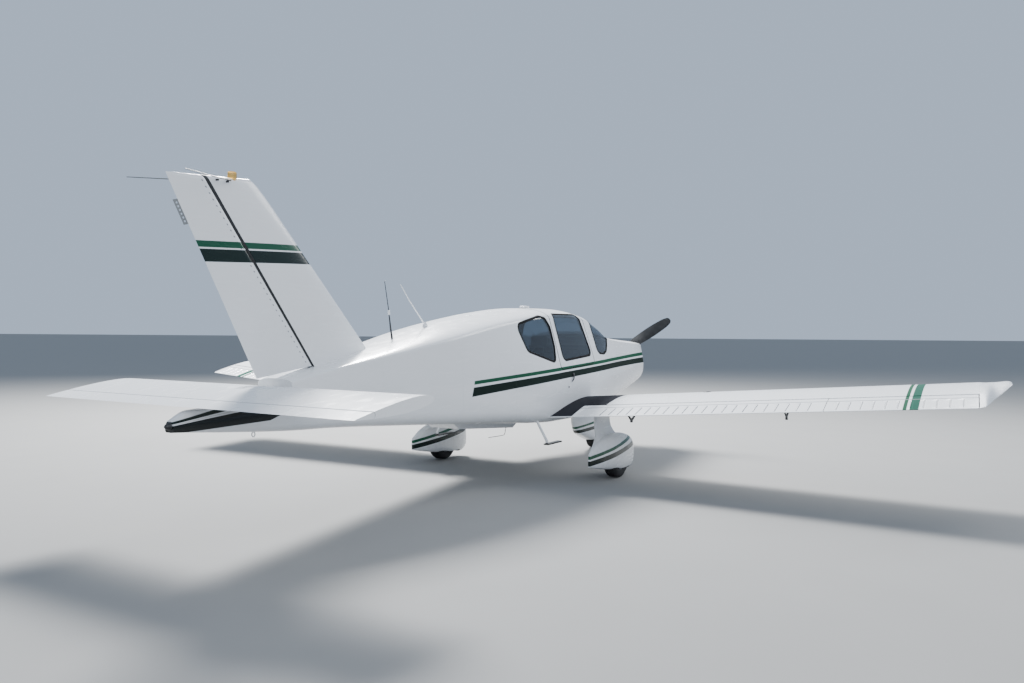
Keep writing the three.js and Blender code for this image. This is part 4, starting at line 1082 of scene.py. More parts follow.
def make_doors():
    """Each door is the body's skin inside the doorway's outline, less its window."""
    panel = body_skin(0.70, -0.35, 0.016).trimmed(within(DOOR_OUTLINE, CORNER - DOOR_GAP, DOOR_GAP, 0.076))
    door = panel.trimmed(opening(DOOR_WINDOW, CORNER, 0.2)).thick(CABIN_WALL)
    pane = body_skin(0.70, -0.35, 0.016, 0.004).trimmed(within(DOOR_WINDOW, CORNER, HAIRLINE, 0.2))
    for side, turn in SIDES:
        body = f"{side}_door"
        add(f"door_{side}_skin", turn(door), ["body", "lining"], body, f"door_{side}")
        add(f"door_{side}_pane", turn(pane.thick(PANE)), ["glass"], body, f"door_window_{side}")
        add(f"door_{side}_seal", turn(seals(pane).joined(seals(panel, 0.0045, 0.6, -0.001))), "seal", body)
        add(f"door_{side}_handle", turn(door_handle()), "dark", body)


def door_handle():
    """A lever on a round boss, which hangs down and back from it."""
    places = np.array([(-0.012, 1.108), (-0.024, 1.088), (-0.048, 1.060), (-0.076, 1.036)])
    out = skin_y(places[:, 0], places[:, 1]) + np.array([0.010, 0.016, 0.018, 0.014])
    lever = sweep(np.stack([places[:, 0], out, places[:, 1]], 1), [0.010, 0.011, 0.009, 0.007], 10, 0.6,
                  np.tile((0, 1.0, 0), (4, 1)))
    x, z = places[0]
    boss = spun([(-0.004, 0.019), (0.010, 0.018), (0.014, 0.012), (0.014, 0)], 28, "y",
                (x, float(skin_y(x, z)), z))
    x, z = -0.148, 0.976
    lock = spun([(-0.004, 0.010), (0.003, 0.010), (0.004, 0.006), (0.002, 0)], 20, "y",
                (x, float(skin_y(x, z)), z))
    return lever.joined(boss, lock)


def make_glazing():
    """Panes are the body's skin inside their outlines, with a bead round each."""
    screen = body_skin(1.28, 0.70, 0.012, 0.004).trimmed(
        lambda x, y, z: -opening(SCREEN_OUTLINE, CORNER, -1.0)(x, y, z))
    add("windscreen_pane", screen.thick(PANE), ["glass"], "airframe", "windshield")
    add("windscreen_seal", seals(screen), "seal", "airframe")
    pane = body_skin(-0.27, -1.06, 0.016, 0.004).trimmed(within(REAR_WINDOW, CORNER, HAIRLINE, 0.2))
    add("rear_pane_left", pane.thick(PANE), ["glass"], "airframe", "rear_window_left")
    add("rear_pane_right", pane.mirrored().thick(PANE), ["glass"], "airframe",
        "rear_window_right")
    add("rear_pane_seals", seals(pane).both(), "seal", "airframe")


INLET_Y = 0.235
INLET_HALF = (0.066, 0.058)
CHIN_Z = 1.085
CHIN_HALF = (0.110, 0.036)


def slot_field(y, z, centre_y, centre_z, half_y, half_z, radius):
    """Distance to a rounded rectangle seen from ahead or above, below zero inside."""
    dy = np.abs(y - centre_y) - (half_y - radius)
    dz = np.abs(z - centre_z) - (half_z - radius)
    outside = np.hypot(np.maximum(dy, 0), np.maximum(dz, 0))
    return outside + np.minimum(np.maximum(dy, dz), 0) - radius


def cowl_openings(x, y, z):
    """Above zero in the openings of the nose, in the outlet below and round the nose leg."""
    ahead = 2.44 - x
    shaft = np.maximum(np.hypot(y, z - PROP_Z) - 0.07, ahead)
    inlet = np.maximum(slot_field(np.abs(y), z, INLET_Y, PROP_Z - 0.015, *INLET_HALF, 0.052), ahead)
    chin = np.maximum(slot_field(y, z, 0, CHIN_Z, *CHIN_HALF, 0.032), ahead)
    below = z - 0.90
    outlet = np.maximum(slot_field(x, y, 1.49, 0, 0.13, 0.19, 0.03), below)
    leg = np.maximum(slot_field(x, y, NOSE_WHEEL_X, 0, 0.06, 0.06, 0.03), below)
    return -np.minimum.reduce([shaft, inlet, chin, outlet, leg])


def duct(y, z, half_y, half_z, x0, x1):
    """A tube that leads back from an inlet, seen from inside."""
    turn = np.linspace(0, 2 * np.pi, 40, endpoint=False)
    across = np.sign(np.cos(turn)) * np.abs(np.cos(turn)) ** 0.62 * half_y
    up = np.sign(np.sin(turn)) * np.abs(np.sin(turn)) ** 0.62 * half_z
    lip = [(x0, 1.0), (x0 + 0.006, 1.03), (x0 + 0.009, 1.10), (x0 + 0.004, 1.17), (x0 - 0.02, 1.19),
           (x0 - 0.03, 1.05), (x1, 0.9), (x1, 0.0)]
    rings = [np.stack([np.full(40, x), y + across * share, z + up * share], 1) for x, share in lip]
    return lofted(rings, False)


def make_cowl():
    """The body's skin ahead of the firewall, closed in front, opened and parted at one height."""
    front = BODY[0, 0]
    nose = wall_across(front, 0, False)
    shell = body_skin(front, FIREWALL_X + HAIRLINE, 0.016).joined(nose).welded(1e-5).trimmed(cowl_openings)
    upper = shell.trimmed(lambda x, y, z: COWL_SPLIT_Z + 0.0012 - z).thick(COWL_WALL)
    lower = shell.trimmed(lambda x, y, z: z - COWL_SPLIT_Z + 0.0008).thick(COWL_WALL)
    ducts = duct(INLET_Y, PROP_Z - 0.015, *INLET_HALF, front, 2.50).both()
    add("cowl_top", upper, ["cowl", "dark"], "airframe", "cowl_upper")
    add("cowl_bottom", lower, ["cowl", "dark"], "airframe", "cowl_lower")
    add("cowl_ducts", ducts.joined(duct(0, CHIN_Z, *CHIN_HALF, front, 2.52)), "dark", "airframe")


LATCH_Z = 1.060


def make_rear_body():
    """The body's skin behind the cabin with its antennas, and the baggage door with its latches."""
    skin = body_skin(CABIN_REAR_X - HAIRLINE, BODY_REAR_X, 0.03)
    field = outline_field(BAGGAGE_OUTLINE, BAGGAGE_CORNER)
    shell = skin.trimmed(lambda x, y, z: -np.maximum(field(x, y, z), 0.2 - y)).thick(SKIN)
    end = wall_across(BODY_REAR_X, 0, True).thick(0.02)
    white, dark = whips()
    wire = sweep(bent([(-0.392, 0, 0.612), (-0.416, 0, 0.500), (-0.436, 0, 0.430), (-0.480, 0, 0.424),
                       (-0.780, 0, 0.432)]), 0.0035, 8)
    add("rear_body", shell.joined(end, white), ["body", "lining"], "airframe",
        "rear_fuselage")
    add("dark_antennas", dark.joined(wire), "dark", "airframe")
    door = body_skin(-1.26, -1.96, 0.02).trimmed(
        within(BAGGAGE_OUTLINE, BAGGAGE_CORNER - DOOR_GAP, DOOR_GAP, 0.2)).thick(SKIN)
    add("baggage_hatch_skin", door, ["body", "lining"], "baggage_hatch", "baggage_door")
    latches = []
    for x in (-1.800, -1.430):
        at = (x, float(skin_y(x, LATCH_Z)), LATCH_Z)
        latches.append(spun([(-0.006, 0.016), (0.003, 0.016), (0.004, 0.012), (0.002, 0.004), (0.002, 0)], 24,
                            "y", at))
    add("baggage_latches", latches[0].joined(latches[1]), "steel", "baggage_hatch")


def bent(corners, steps=6):
    """A line with its corners rounded: quadratic curves between the middles of its sides."""
    corners = np.array(corners, float)
    middles = (corners[1:] + corners[:-1]) / 2
    t = np.linspace(0, 1, steps, endpoint=False)[:, None]
    bends = [bezier(t, a, corner, b) for a, corner, b in zip(middles[:-1], corners[1:-1], middles[1:])]
    return np.vstack([corners[:1], *bends, middles[-1:], corners[-1:]])


def whips():
    """Two antennas on the spine: the white one with its foot and the other's pale bead, and the dark one."""
    foot = spun([(-0.020, 0), (-0.020, 0.026), (0.004, 0.024), (0.018, 0.014), (0.030, 0.006),
                 (0.030, 0)], 24, "z", (-1.945, 0, 1.648))
    white = sweep([(-1.930, 0, 1.630), (-2.050, 0, 1.742), (-2.200, 0, 1.880), (-2.330, 0, 2.020)],
                  [0.008, 0.006, 0.005, 0.003], 10)
    dark = sweep([(-2.445, 0, 1.500), (-2.470, 0, 1.610), (-2.505, 0, 1.800), (-2.560, 0, 2.040)],
                 [0.011, 0.008, 0.004, 0.003], 10)
    bead = spun([(-0.022, 0), (-0.020, 0.011), (0.020, 0.011), (0.022, 0)], 16, "z", (-2.496, 0, 1.755))
    return white.joined(foot, bead), dark


def make_tail_cone():
    """The body's skin at its rear end, cut level on top, with the tailplane's pivot, a ring and a lamp."""
    def point(x, v):
        """The body's skin, no higher than the cone's level top."""
        x, y, z = body_point(x, v)
        return x, y, np.minimum(z, CONE_TOP_Z)

    rings = stations(BODY_REAR_X - HAIRLINE, CONE_END_X, 0.03)
    places = ring_places(0.7)
    skin = lofted(np.stack(np.broadcast_arrays(*point(*np.meshgrid(rings, places, indexing="ij"))), -1))
    pivot = stab_z(STAB_AXIS_X)
    post = prism([(STAB_AXIS_X + 0.09, 0.96), (STAB_AXIS_X + 0.026, pivot + 0.018),
                  (STAB_AXIS_X - 0.026, pivot + 0.018), (STAB_AXIS_X - 0.05, 0.96)], -0.02, 0.02)
    pin = spun([(-0.044, 0), (-0.044, 0.014), (0.044, 0.014), (0.044, 0)], 24, "y", (STAB_AXIS_X, 0, pivot))
    turn = np.linspace(0, 2 * np.pi, 24, endpoint=False)
    loop = np.stack([-4.070 + 0.015 * np.cos(turn), 0 * turn, 0.815 + 0.018 * np.sin(turn)], 1)
    ring = sweep(loop, 0.0045, 8, normals=np.tile((0, 1.0, 0), (24, 1)), closed=True)
    add("tail_cone_skin", skin.joined(post, pin, ring), ["cone"], "airframe",
        "tail_cone")
    light = spun([(-0.035, 0), (-0.034, 0.010), (-0.028, 0.0165), (-0.012, 0.024), (0, 0.030)], 32, "x",
                 (CONE_END_X, 0, 0.943))
    add("tail_lamp", light, "dark", "airframe", "tail_light")


# Flying surfaces

def aerofoil(fraction, thickness, camber=0.0):
    """Heights of the upper and lower surfaces over the chord line, as shares of the chord: a middle line of
    4 camber f (1 - f), and on each side of it 5 times the thickness times a sum of root f and its powers."""
    f = np.clip(fraction, 0, 1)
    shape = 0.2969 * np.sqrt(f) - 0.126 * f - 0.3516 * f ** 2 + 0.2843 * f ** 3 - 0.1015 * f ** 4
    middle = 4 * camber * f * (1 - f)
    return middle + 5 * thickness * shape, middle - 5 * thickness * shape


def chord_steps(count):
    """Shares of the chord, closer together at its ends: half of 1 less the cosine of an even turn."""
    return (1 - np.cos(np.pi * np.linspace(0, 1, count))) / 2


def wing_heights(x):
    """Heights of the wing's surfaces at a station, before the dihedral: the leaning chord line plus the
    aerofoil times the chord."""
    chord = WING_LE_X - WING_TE_X
    upper, lower = aerofoil((WING_LE_X - x) / chord, WING_THICKNESS, WING_CAMBER)
    base = WING_TE_Z + (x - WING_TE_X) * math.tan(WING_INCIDENCE)
    return base + upper * chord, base + lower * chord


def raised(x, span, z):
    """From the wing's flat frame into the aircraft's: turned by the dihedral about the centre line at the
    height of the trailing edge."""
    up = z - WING_TE_Z
    return (x, span * math.cos(DIHEDRAL) - up * math.sin(DIHEDRAL),
            span * math.sin(DIHEDRAL) + up * math.cos(DIHEDRAL) + WING_TE_Z)


NOSE_TOP, NOSE_BOTTOM = wing_heights(np.array(SURFACE_AXIS_X))
NOSE_MIDDLE = float(NOSE_TOP + NOSE_BOTTOM) / 2
NOSE_RADIUS = float(NOSE_TOP - NOSE_BOTTOM) / 2 - 0.001
COVE_RADIUS = NOSE_RADIUS + 0.009
COVE_X = SURFACE_AXIS_X + COVE_RADIUS
LIP_X = SURFACE_AXIS_X + 0.019


def carried(outline, spans):
    """Rings of a wing outline (x, z) at several spans, raised by the dihedral."""
    outline = np.asarray(outline, float)
    rings = []
    for span in spans:
        x, z = outline[:, 0], outline[:, 1]
        rings.append(np.stack(raised(x, np.full(len(x), span), z), 1))
    return rings


def full_outline(count=40):
    """The whole aerofoil of the wing in side view, upper side first."""
    x = WING_LE_X - chord_steps(count) * (WING_LE_X - WING_TE_X)
    upper, lower = wing_heights(x)
    return np.vstack([np.stack([x, upper], 1)[::-1], np.stack([x, lower], 1)[1:-1]])


def bay_outline(count=34):
    """The wing ahead of a surface: upper side with a thin lip, the hollow behind it, lower side."""
    share = chord_steps(count)
    upper_x = WING_LE_X - share * (WING_LE_X - LIP_X)
    lower_x = WING_LE_X - share * (WING_LE_X - COVE_X - 0.012)
    turn = np.radians(np.linspace(52, -62, 12))
    hollow = np.stack([SURFACE_AXIS_X + COVE_RADIUS * np.cos(turn),
                       NOSE_MIDDLE + (NOSE_RADIUS + 0.004) * np.sin(turn)], 1)
    lip = (LIP_X, wing_heights(np.array(LIP_X))[0] - 0.0006)
    return np.vstack([np.stack([upper_x, wing_heights(upper_x)[0]], 1)[::-1],
                      np.stack([lower_x, wing_heights(lower_x)[1]], 1)[1:], hollow[::-1], [lip]])


BEAD_DEPTH = 0.0055
BEAD_HALF = 0.012


def beads(span, start, pitch):
    """Depth of the pressed grooves along the chord, by span: the full depth times (1 - (off / half width)
    squared) to the power 0.8, off being the distance to the middle of the groove."""
    share = ((span - start) / pitch) % 1.0
    return -BEAD_DEPTH * np.clip(1 - ((share - 0.5) * pitch / BEAD_HALF) ** 2, 0, 1) ** 0.8


def surface_rings(inner, outer, first, pitch):
    """Rings of a flap or aileron, with a round nose and a grooved tail. Its first groove lies half a pitch
    after the span first."""
    count = 26
    share = chord_steps(count * 2)[count:] * 2 - 1
    share = (share - share[0]) / (share[-1] - share[0])
    x = SURFACE_AXIS_X - share * (SURFACE_AXIS_X - WING_TE_X)
    upper, lower = wing_heights(x)
    turn = np.radians(np.linspace(-90, 90, 15))[1:-1]
    nose = np.stack([SURFACE_AXIS_X + NOSE_RADIUS * np.cos(turn),
                     NOSE_MIDDLE + NOSE_RADIUS * np.sin(turn)], 1)
    swell = np.clip((SURFACE_AXIS_X - 0.105 - x) / 0.02, 0, 1) * np.clip((x - WING_TE_X - 0.022) / 0.02, 0, 1)
    starts = first + pitch * np.arange(round((outer - first - 0.04) / pitch))
    across = pitch / 2 + BEAD_HALF * np.linspace(-1, 1, 9)
    spans = np.concatenate([[inner], (starts[:, None] + across).reshape(-1), [outer]])
    rings = []
    for span in spans:
        ridge = beads(span, first, pitch) if inner < span < outer else 0.0
        top = np.stack([x, upper + ridge * swell], 1)
        bottom = np.stack([x, lower - ridge * swell], 1)
        rings += carried(np.vstack([top[::-1], nose[::-1], bottom[:-1]]), [span])
    return rings


def body_clear(x, y, z):
    """Above zero inside the body, a little way in from its skin."""
    bottom = smooth_rows(BODY, x)[0]
    inside = skin_y(x, z) - 0.010 - np.abs(y)
    return np.minimum(inside, z - bottom - 0.002)


def bracket(top, hinge, y0, y1):
    """A slim strut from under the wing to the flap's hinge, ending in a round eye."""
    start, end = np.array(top, float), np.array(hinge, float)
    ahead = (end - start) / np.linalg.norm(end - start)
    side = np.array([-ahead[1], ahead[0]])
    turn = np.linspace(0, np.pi, 9)[:, None]
    eye = end + 0.015 * (np.cos(turn) * side + np.sin(turn) * ahead)
    plate = prism([start + 0.010 * side, *eye, start - 0.010 * side], y0, y1)
    return Surface(np.stack(raised(*plate.points.T), 1), plate.faces).marked(1)


def make_wings():
    """Each wing: a root with the whole aerofoil, a bay ahead of the flap and aileron, and its tip."""
    root = lofted(carried(full_outline(), stations(WING_ROOT, ROOT_END, 0.03))).trimmed(body_clear)
    bay = lofted(carried(bay_outline(), stations(ROOT_END, TIP_JOINT, 0.25)))
    hinge = (SURFACE_AXIS_X, NOSE_MIDDLE - FLAP_HINGE_DROP)
    fixed, moving = COVE_X + 0.070, SURFACE_AXIS_X - 0.095
    lugs = [bracket((fixed, wing_heights(fixed)[1] + 0.006), hinge, y - 0.005, y + 0.005)
            for y in FLAP_BRACKETS]
    wing = root.joined(bay, *lugs)
    flap = lofted(surface_rings(FLAP_INNER, FLAP_OUTER, FLAP_GROOVES, FLAP_PITCH))
    arms = [bracket((moving, wing_heights(moving)[1] + 0.006), hinge, y + 0.0054, y + 0.015)
            for y in FLAP_BRACKETS]
    flap = flap.joined(*arms)
    aileron = lofted(surface_rings(FLAP_OUTER + SURFACE_GAP, TIP_JOINT - SURFACE_GAP, AILERON_GROOVES,
                                   AILERON_PITCH))
    tip = wing_tip()
    cap_x, cap_y = FUEL_CAP
    cap_z = float(wing_heights(np.array(cap_x))[0])
    cap = spun([(-0.010, 0.042), (0.002, 0.041), (0.003, 0.034), (0.001, 0.032), (0.005, 0.028),
                (0.006, 0)], 32, "z", (cap_x, cap_y, cap_z))
    cap = Surface(np.stack(raised(*cap.points.T), 1), cap.faces)
    add("fuel_caps", cap.both(), "dark", "airframe")
    for side, turn in SIDES:
        add(f"wing_{side}_skin", turn(wing), ["wing", "dark"], "airframe",
            f"wing_{side}")
        add(f"tip_{side}_skin", turn(tip), "tip", "airframe", f"wing_tip_{side}")
        add(f"flap_{side}_skin", turn(flap), ["surface", "dark"], f"{side}_flap",
            f"flap_{side}")
        add(f"aileron_{side}_skin", turn(aileron), "surface", f"{side}_aileron",
            f"aileron_{side}")


def wing_tip():
    """The moulded tip, whose thickness over its last 30 mm falls by the root of 1 - s s."""
    end = WING_TIP[-1, 0]
    spans = np.concatenate([np.linspace(TIP_JOINT + HAIRLINE, end - 0.03, 16),
                            end - 0.03 * (1 - np.sin(np.linspace(0, np.pi / 2, 9)[1:]))])
    share = chord_steps(36)
    rings = []
    for span in spans:
        leading, trailing, factor, rise = smooth_rows(WING_TIP, span)
        closing = math.sqrt(max(1 - ((span - end + 0.03) / 0.03) ** 2, 0)) if span > end - 0.03 else 1.0
        chord = leading - trailing
        x = leading - share * chord
        upper, lower = aerofoil(share, WING_THICKNESS * factor, WING_CAMBER)
        middle = (upper + lower) / 2
        base = WING_TE_Z + (x - WING_TE_X) * math.tan(WING_INCIDENCE) + rise
        top = base + (middle + (upper - middle) * closing) * chord
        bottom = base + (middle - (upper - middle) * closing) * chord
        outline = np.vstack([np.stack([x, top], 1)[::-1], np.stack([x, bottom], 1)[1:-1]])
        rings += carried(outline, [span])
    return lofted(rings)


# Tail

def fin_row(z):
    """Leading edge, trailing edge and thickness of the vertical tail at a height, straight between rows."""
    return [np.interp(z, FIN_ROWS[:, 0], FIN_ROWS[:, k]) for k in (1, 2, 3)]


def hinge_x(z):
    """Station of the line between fin and rudder, straight between its two ends."""
    slope = (HINGE_HIGH[0] - HINGE_LOW[0]) / (HINGE_HIGH[1] - HINGE_LOW[1])
    return HINGE_LOW[0] + (z - HINGE_LOW[1]) * slope


def fin_top(x):
    """Height of the vertical tail's top edge, which falls towards its rear."""
    return 2.705 + np.minimum(x + 4.0, 0) * 0.0835


def rudder_foot(x):
    """Height of the rudder's lower edge, which falls towards its rear."""
    return 1.338 + (x + 3.300) * 0.15


HINGE_LEAN = 1.256  # how much longer a square section comes out when it is cut level
RUDDER_BACK = 0.0603
FIN_LIP = 0.014  # how far the fin's sides reach behind the hinge line
FIN_FOOT_Z = 1.100


def fin_half(z, x):
    """Half thickness of the vertical tail: the aerofoil's, times the root of 1 - s s over the top edge."""
    leading, trailing, thick = fin_row(z)
    chord = leading - trailing
    upper = aerofoil((leading - x) / chord, 1.0)[0] * thick
    over = np.clip(1 - (fin_top(x) - z) / FIN_EDGE, 0, 1)
    return upper * np.sqrt(np.maximum(1 - over ** 2, 0))


def fin_ring(up, count=30):
    """One ring of the fin, at a share of the way up from its foot to its top. Its stations depend on its
    heights and the other way round, so both are worked out twelve times over."""
    share = chord_steps(count)
    z = np.full(count, 1.9)
    for _ in range(12):
        leading = fin_row(z)[0]
        x = leading - share * (leading - (hinge_x(z) - FIN_LIP))
        z = FIN_FOOT_Z + (fin_top(x) - FIN_FOOT_Z) * up
    half = fin_half(z, x)
    last_x, last_z = x[-1], z[-1]
    centre = hinge_x(last_z) - RUDDER_BACK
    radius = float(fin_half(np.array(last_z), np.array(centre)))
    turn = np.radians(np.linspace(48, -48, 9))
    cove = np.stack([centre + HINGE_LEAN * (radius + 0.006) * np.cos(turn), (radius + 0.004) * np.sin(turn),
                     np.full(9, last_z)], 1)
    lip = max(half[-1] - 0.002, 0.0)
    left = np.stack([x, half, z], 1)
    right = np.stack([x, -half, z], 1)[::-1]
    cove[:, 1] = np.clip(cove[:, 1], -lip, lip)
    return np.vstack([left, [(last_x, lip, last_z)], cove, [(last_x, -lip, last_z)], right[:-1]])


def rudder_ring(share_low, count=26):
    """One ring of the rudder, found as the fin's are: round nose, sides as the vertical tail's, blunt rear
    edge."""
    share = 1 - chord_steps(count * 2)[:count][::-1] * 2
    share = (share - share[0]) / (share[-1] - share[0])
    z = np.full(count, 1.9)
    for _ in range(12):
        trailing = fin_row(z)[1]
        start = hinge_x(z) - RUDDER_BACK
        x = start + share * (trailing - start)
        z = rudder_foot(x) + (fin_top(x) - rudder_foot(x)) * share_low
    half = np.maximum(fin_half(z, x), 0.0)
    height, centre, radius = z[0], x[0], max(half[0] - 0.0005, 0)
    turn = np.radians(np.linspace(-90, 90, 13))[1:-1]
    nose = np.stack([centre + HINGE_LEAN * radius * np.cos(turn), radius * np.sin(turn),
                     np.full(11, height)], 1)
    left = np.stack([x, half, z], 1)[::-1]
    right = np.stack([x, -half, z], 1)
    return np.vstack([left, nose[::-1], right])


def with_gap_shade(rings, first, last):
    """A skin through rings, whose faces from one column of the rings to another are marked 2: painted shade
    of the gap between fin and rudder.
    """
    skin = lofted(rings)
    rows, columns = np.shape(rings)[:2]
    kind = np.zeros((rows - 1, columns), int)
    kind[:, first:last] = 2
    return Surface(skin.points, skin.faces, np.concatenate([kind.reshape(-1), np.zeros(2 * columns, int)]))


def rudder_plate():
    """A thin flat plate with six holes along the rudder's rear edge."""
    def point(height, out):
        """From 6 mm ahead of the rudder's rear edge straight back to 36 mm behind it, falling 12 mm."""
        return fin_row(height)[1] + 0.006 - out * 0.042, 0 * height, height - out * 0.012

    flat = patch(point, np.linspace(2.310, 2.470, 60), np.linspace(0, 1, 16))
    for height in np.linspace(2.324, 2.442, 6):
        centre = fin_row(height)[1] - 0.020
        flat = flat.trimmed(lambda x, y, z, h=height, c=centre: 0.0075 - np.hypot(x - c, z - h))
    return flat.thick(0.0015, 0)


def make_tail():
    """Fin and rudder through their rings, with the two rods, their fittings and the beacon on top."""
    top = 1 - FIN_EDGE * (1 - np.sin(np.linspace(0, np.pi / 2, 8))) / FIN_TALL
    shares = np.concatenate([np.linspace(0, 0.97, 40), top])
    # The lip and hollow behind the fin's sides take the dark finish: painted shade of the gap before the
    # rudder.
    fin = with_gap_shade([fin_ring(share) for share in shares], 30, 40)
    fin = fin.trimmed(lambda x, y, z: smooth_rows(BODY, x)[1] - 0.045 - z)
    rods = []
    for side in (1, -1):
        rods.append(sweep([(-4.340, 0, 2.650), (-4.335, side * 0.03, 2.652), (-4.330, side * 0.056, 2.651)],
                          0.005, 10))
        rods.append(sweep([(-4.325, side * 0.047, 2.650), (-4.600, side * 0.165, 2.632),
                           (-4.900, side * 0.298, 2.612)], [0.0045, 0.0035, 0.0025], 10))
        for x in (-4.343, -4.430):
            low, high = sorted((side * 0.012, side * 0.046))
            rods.append(rounded_box((x - 0.006, low, 2.634), (x + 0.006, high, 2.648), 0.003))
    add("fin_skin", fin.joined(*[rod.marked(2) for rod in rods]), ["tail", "steel", "dark"], "airframe",
        "fin")
    # The middle of the rudder's round nose takes the dark finish: painted shade of the gap behind the fin.
    rudder = with_gap_shade([rudder_ring(share) for share in shares], 29, 33)
    add("rudder_skin", rudder.joined(rudder_plate().marked(1)), ["tail", "grey", "dark"], "rudder_body",
        "rudder")
    lamp = spun([(0.004, 0), (0.004, 0.024), (0.022, 0.031), (0.028, 0.033), (0.064, 0.032), (0.069, 0.028),
                 (0.070, 0)], 40, "z", (-4.273, 0, 2.655))
    add("beacon_lamp", lamp, ["amber"], "airframe", "beacon")


def stab_z(x):
    """Height of the tailplane's chord line, straight and leaning."""
    return STAB_TE_Z + (x - STAB_TE_X) * math.tan(STAB_INCIDENCE)


def stab_heights(x):
    """Heights of the tailplane's surfaces: an even aerofoil about its chord line."""
    chord = STAB_LE_X - STAB_TE_X
    upper, lower = aerofoil((STAB_LE_X - x) / chord, STAB_THICKNESS)
    return stab_z(x) + upper * chord, stab_z(x) + lower * chord


TAB_TOP, TAB_BOTTOM = stab_heights(np.array(TAB_AXIS_X))
TAB_NOSE = float(TAB_TOP - TAB_BOTTOM) / 2
TAB_LIP_X = TAB_AXIS_X + 0.012


def stab_outline(front, count=30):
    """The tailplane ahead of its tab, from a station back; its rear is hollow round the tab's nose."""
    share = chord_steps(count) if front >= STAB_LE_X else np.linspace(0, 1, count)
    x = front - share * (front - TAB_LIP_X)
    upper, lower = stab_heights(x)
    turn = np.radians(np.linspace(40, -40, 7))
    hollow = np.stack([TAB_AXIS_X + 0.0235 * np.cos(turn),
                       stab_z(TAB_AXIS_X) + (TAB_NOSE - 0.001) * np.sin(turn)], 1)
    top, bottom = stab_heights(np.array(TAB_LIP_X))
    start = 0 if front >= STAB_LE_X else 1
    lower_side = np.stack([x, lower], 1)[1 - start:]
    return np.vstack([np.stack([x, upper], 1)[::-1], lower_side, [(TAB_LIP_X, float(bottom) + 0.002)],
                      hollow[::-1], [(TAB_LIP_X, float(top) - 0.002)]])


def across_span(outline, spans):
    """Rings of an outline (x, z) at several distances from the centre plane."""
    outline = np.asarray(outline)
    return [np.stack([outline[:, 0], np.full(len(outline), y), outline[:, 1]], 1) for y in spans]


def make_stabilator():
    """The tailplane's two halves and the piece between them, and the tab behind with its round nose."""
    outline = stab_outline(STAB_LE_X)
    half = lofted(across_span(outline, stations(0.045, STAB_HALF, 0.15)))
    middle = lofted(across_span(stab_outline(STAB_AXIS_X - 0.06), (-0.0452, 0.0452)))
    add("stabilator_skin", half.both().joined(middle), ["stabilator"], "tailplane",
        "stabilator")
    share = np.linspace(0, 1, 14)
    x = TAB_AXIS_X - share * (TAB_AXIS_X - STAB_TE_X)
    upper, lower = stab_heights(x)
    turn = np.radians(np.linspace(-90, 90, 11))[1:-1]
    nose = np.stack([TAB_AXIS_X + 0.018 * np.cos(turn), stab_z(TAB_AXIS_X) + TAB_NOSE * np.sin(turn)], 1)
    outline = np.vstack([np.stack([x, upper], 1)[::-1], nose[::-1], np.stack([x, lower], 1)[:-1]])
    tab = lofted(across_span(outline, stations(-STAB_HALF, STAB_HALF, 0.2)))
    add("stabilator_tab_skin", tab, ["stabilator"], "tailplane_tab", "stabilator_tab")


# Engine and propeller

def make_airscrew():
    """Two blades, each an aerofoil turned by its pitch at every radius, on a hub, a shaft and a spinner."""
    radii = np.concatenate([np.linspace(0.06, 0.90, 30), [0.92, 0.932, PROP_RADIUS]])
    rings = []
    for radius in radii:
        chord, thick, pitch = smooth_rows(BLADE, radius)
        angle = math.radians(pitch)
        share = chord_steps(12)
        upper = aerofoil(share, 1.0)[0]
        along = np.concatenate([0.5 - share, (0.5 - share)[::-1][1:-1]]) * chord
        across = np.concatenate([upper, -0.35 * upper[::-1][1:-1]]) * thick / 1.35
        forward = across * math.cos(angle) + along * math.sin(angle)
        tangent = along * math.cos(angle) - across * math.sin(angle)
        rings.append(np.stack([PROP_X + forward, -tangent, np.full(len(along), radius)], 1))
    blade = lofted(rings)
    whole = []
    for extra in (0, 180):
        angle = math.radians(90 + extra) - PROP_ANGLE
        x, y, z = blade.points.T
        turned = np.stack([x, y * math.cos(angle) - z * math.sin(angle),
                           PROP_Z + y * math.sin(angle) + z * math.cos(angle)], 1)
        whole.append(Surface(turned, blade.faces))
    hub = spun([(-0.045, 0), (-0.045, 0.075), (0.045, 0.075), (0.045, 0)], 40, "x", (PROP_X, 0, PROP_Z))
    shaft = spun([(-0.409, 0), (-0.409, 0.045), (0, 0.045), (0, 0)], 32, "x", (PROP_X, 0, PROP_Z))
    add("propeller_blades", whole[0].joined(whole[1], hub, shaft), "blade", "airscrew",
        "propeller")
    turn = np.linspace(0, np.pi / 2, 26)
    profile = [(0, 0), (0, 0.146), (0.004, 0.150)]
    profile += [(0.004 + 0.226 * math.sin(t), 0.150 * max(math.cos(t), 0) ** 0.8) for t in turn[1:]]
    cone = spun(profile, 64, "x", (2.690, 0, PROP_Z))
    add("spinner_skin", cone, "white", "airscrew", "spinner")


# Landing gear

SPAT_PITCH = 0.02


def spat_rings(rows, y):
    """Rings of a wheel fairing: cos and sin of a turn, both to the power 0.75 above and 0.5 below, so that
    its lower side is squarer. The rings are closer together towards the ends."""
    low, high = rows[0, 0], rows[-1, 0]
    place = np.linspace(0, np.pi, int((high - low) / SPAT_PITCH))
    turn = np.linspace(0, 2 * np.pi, 56, endpoint=False)
    power = np.where(np.sin(turn) < 0, 0.5, 0.75)
    across = np.sign(np.cos(turn)) * np.abs(np.cos(turn)) ** power
    up = np.sign(np.sin(turn)) * np.abs(np.sin(turn)) ** power
    rings = []
    for x in low + (high - low) * (1 - np.cos(place)) / 2:
        bottom, top, half = smooth_rows(rows, x)
        rings.append(np.stack([np.full(56, x), y + half * across,
                               (bottom + top) / 2 + (top - bottom) / 2 * up], 1))
    return rings


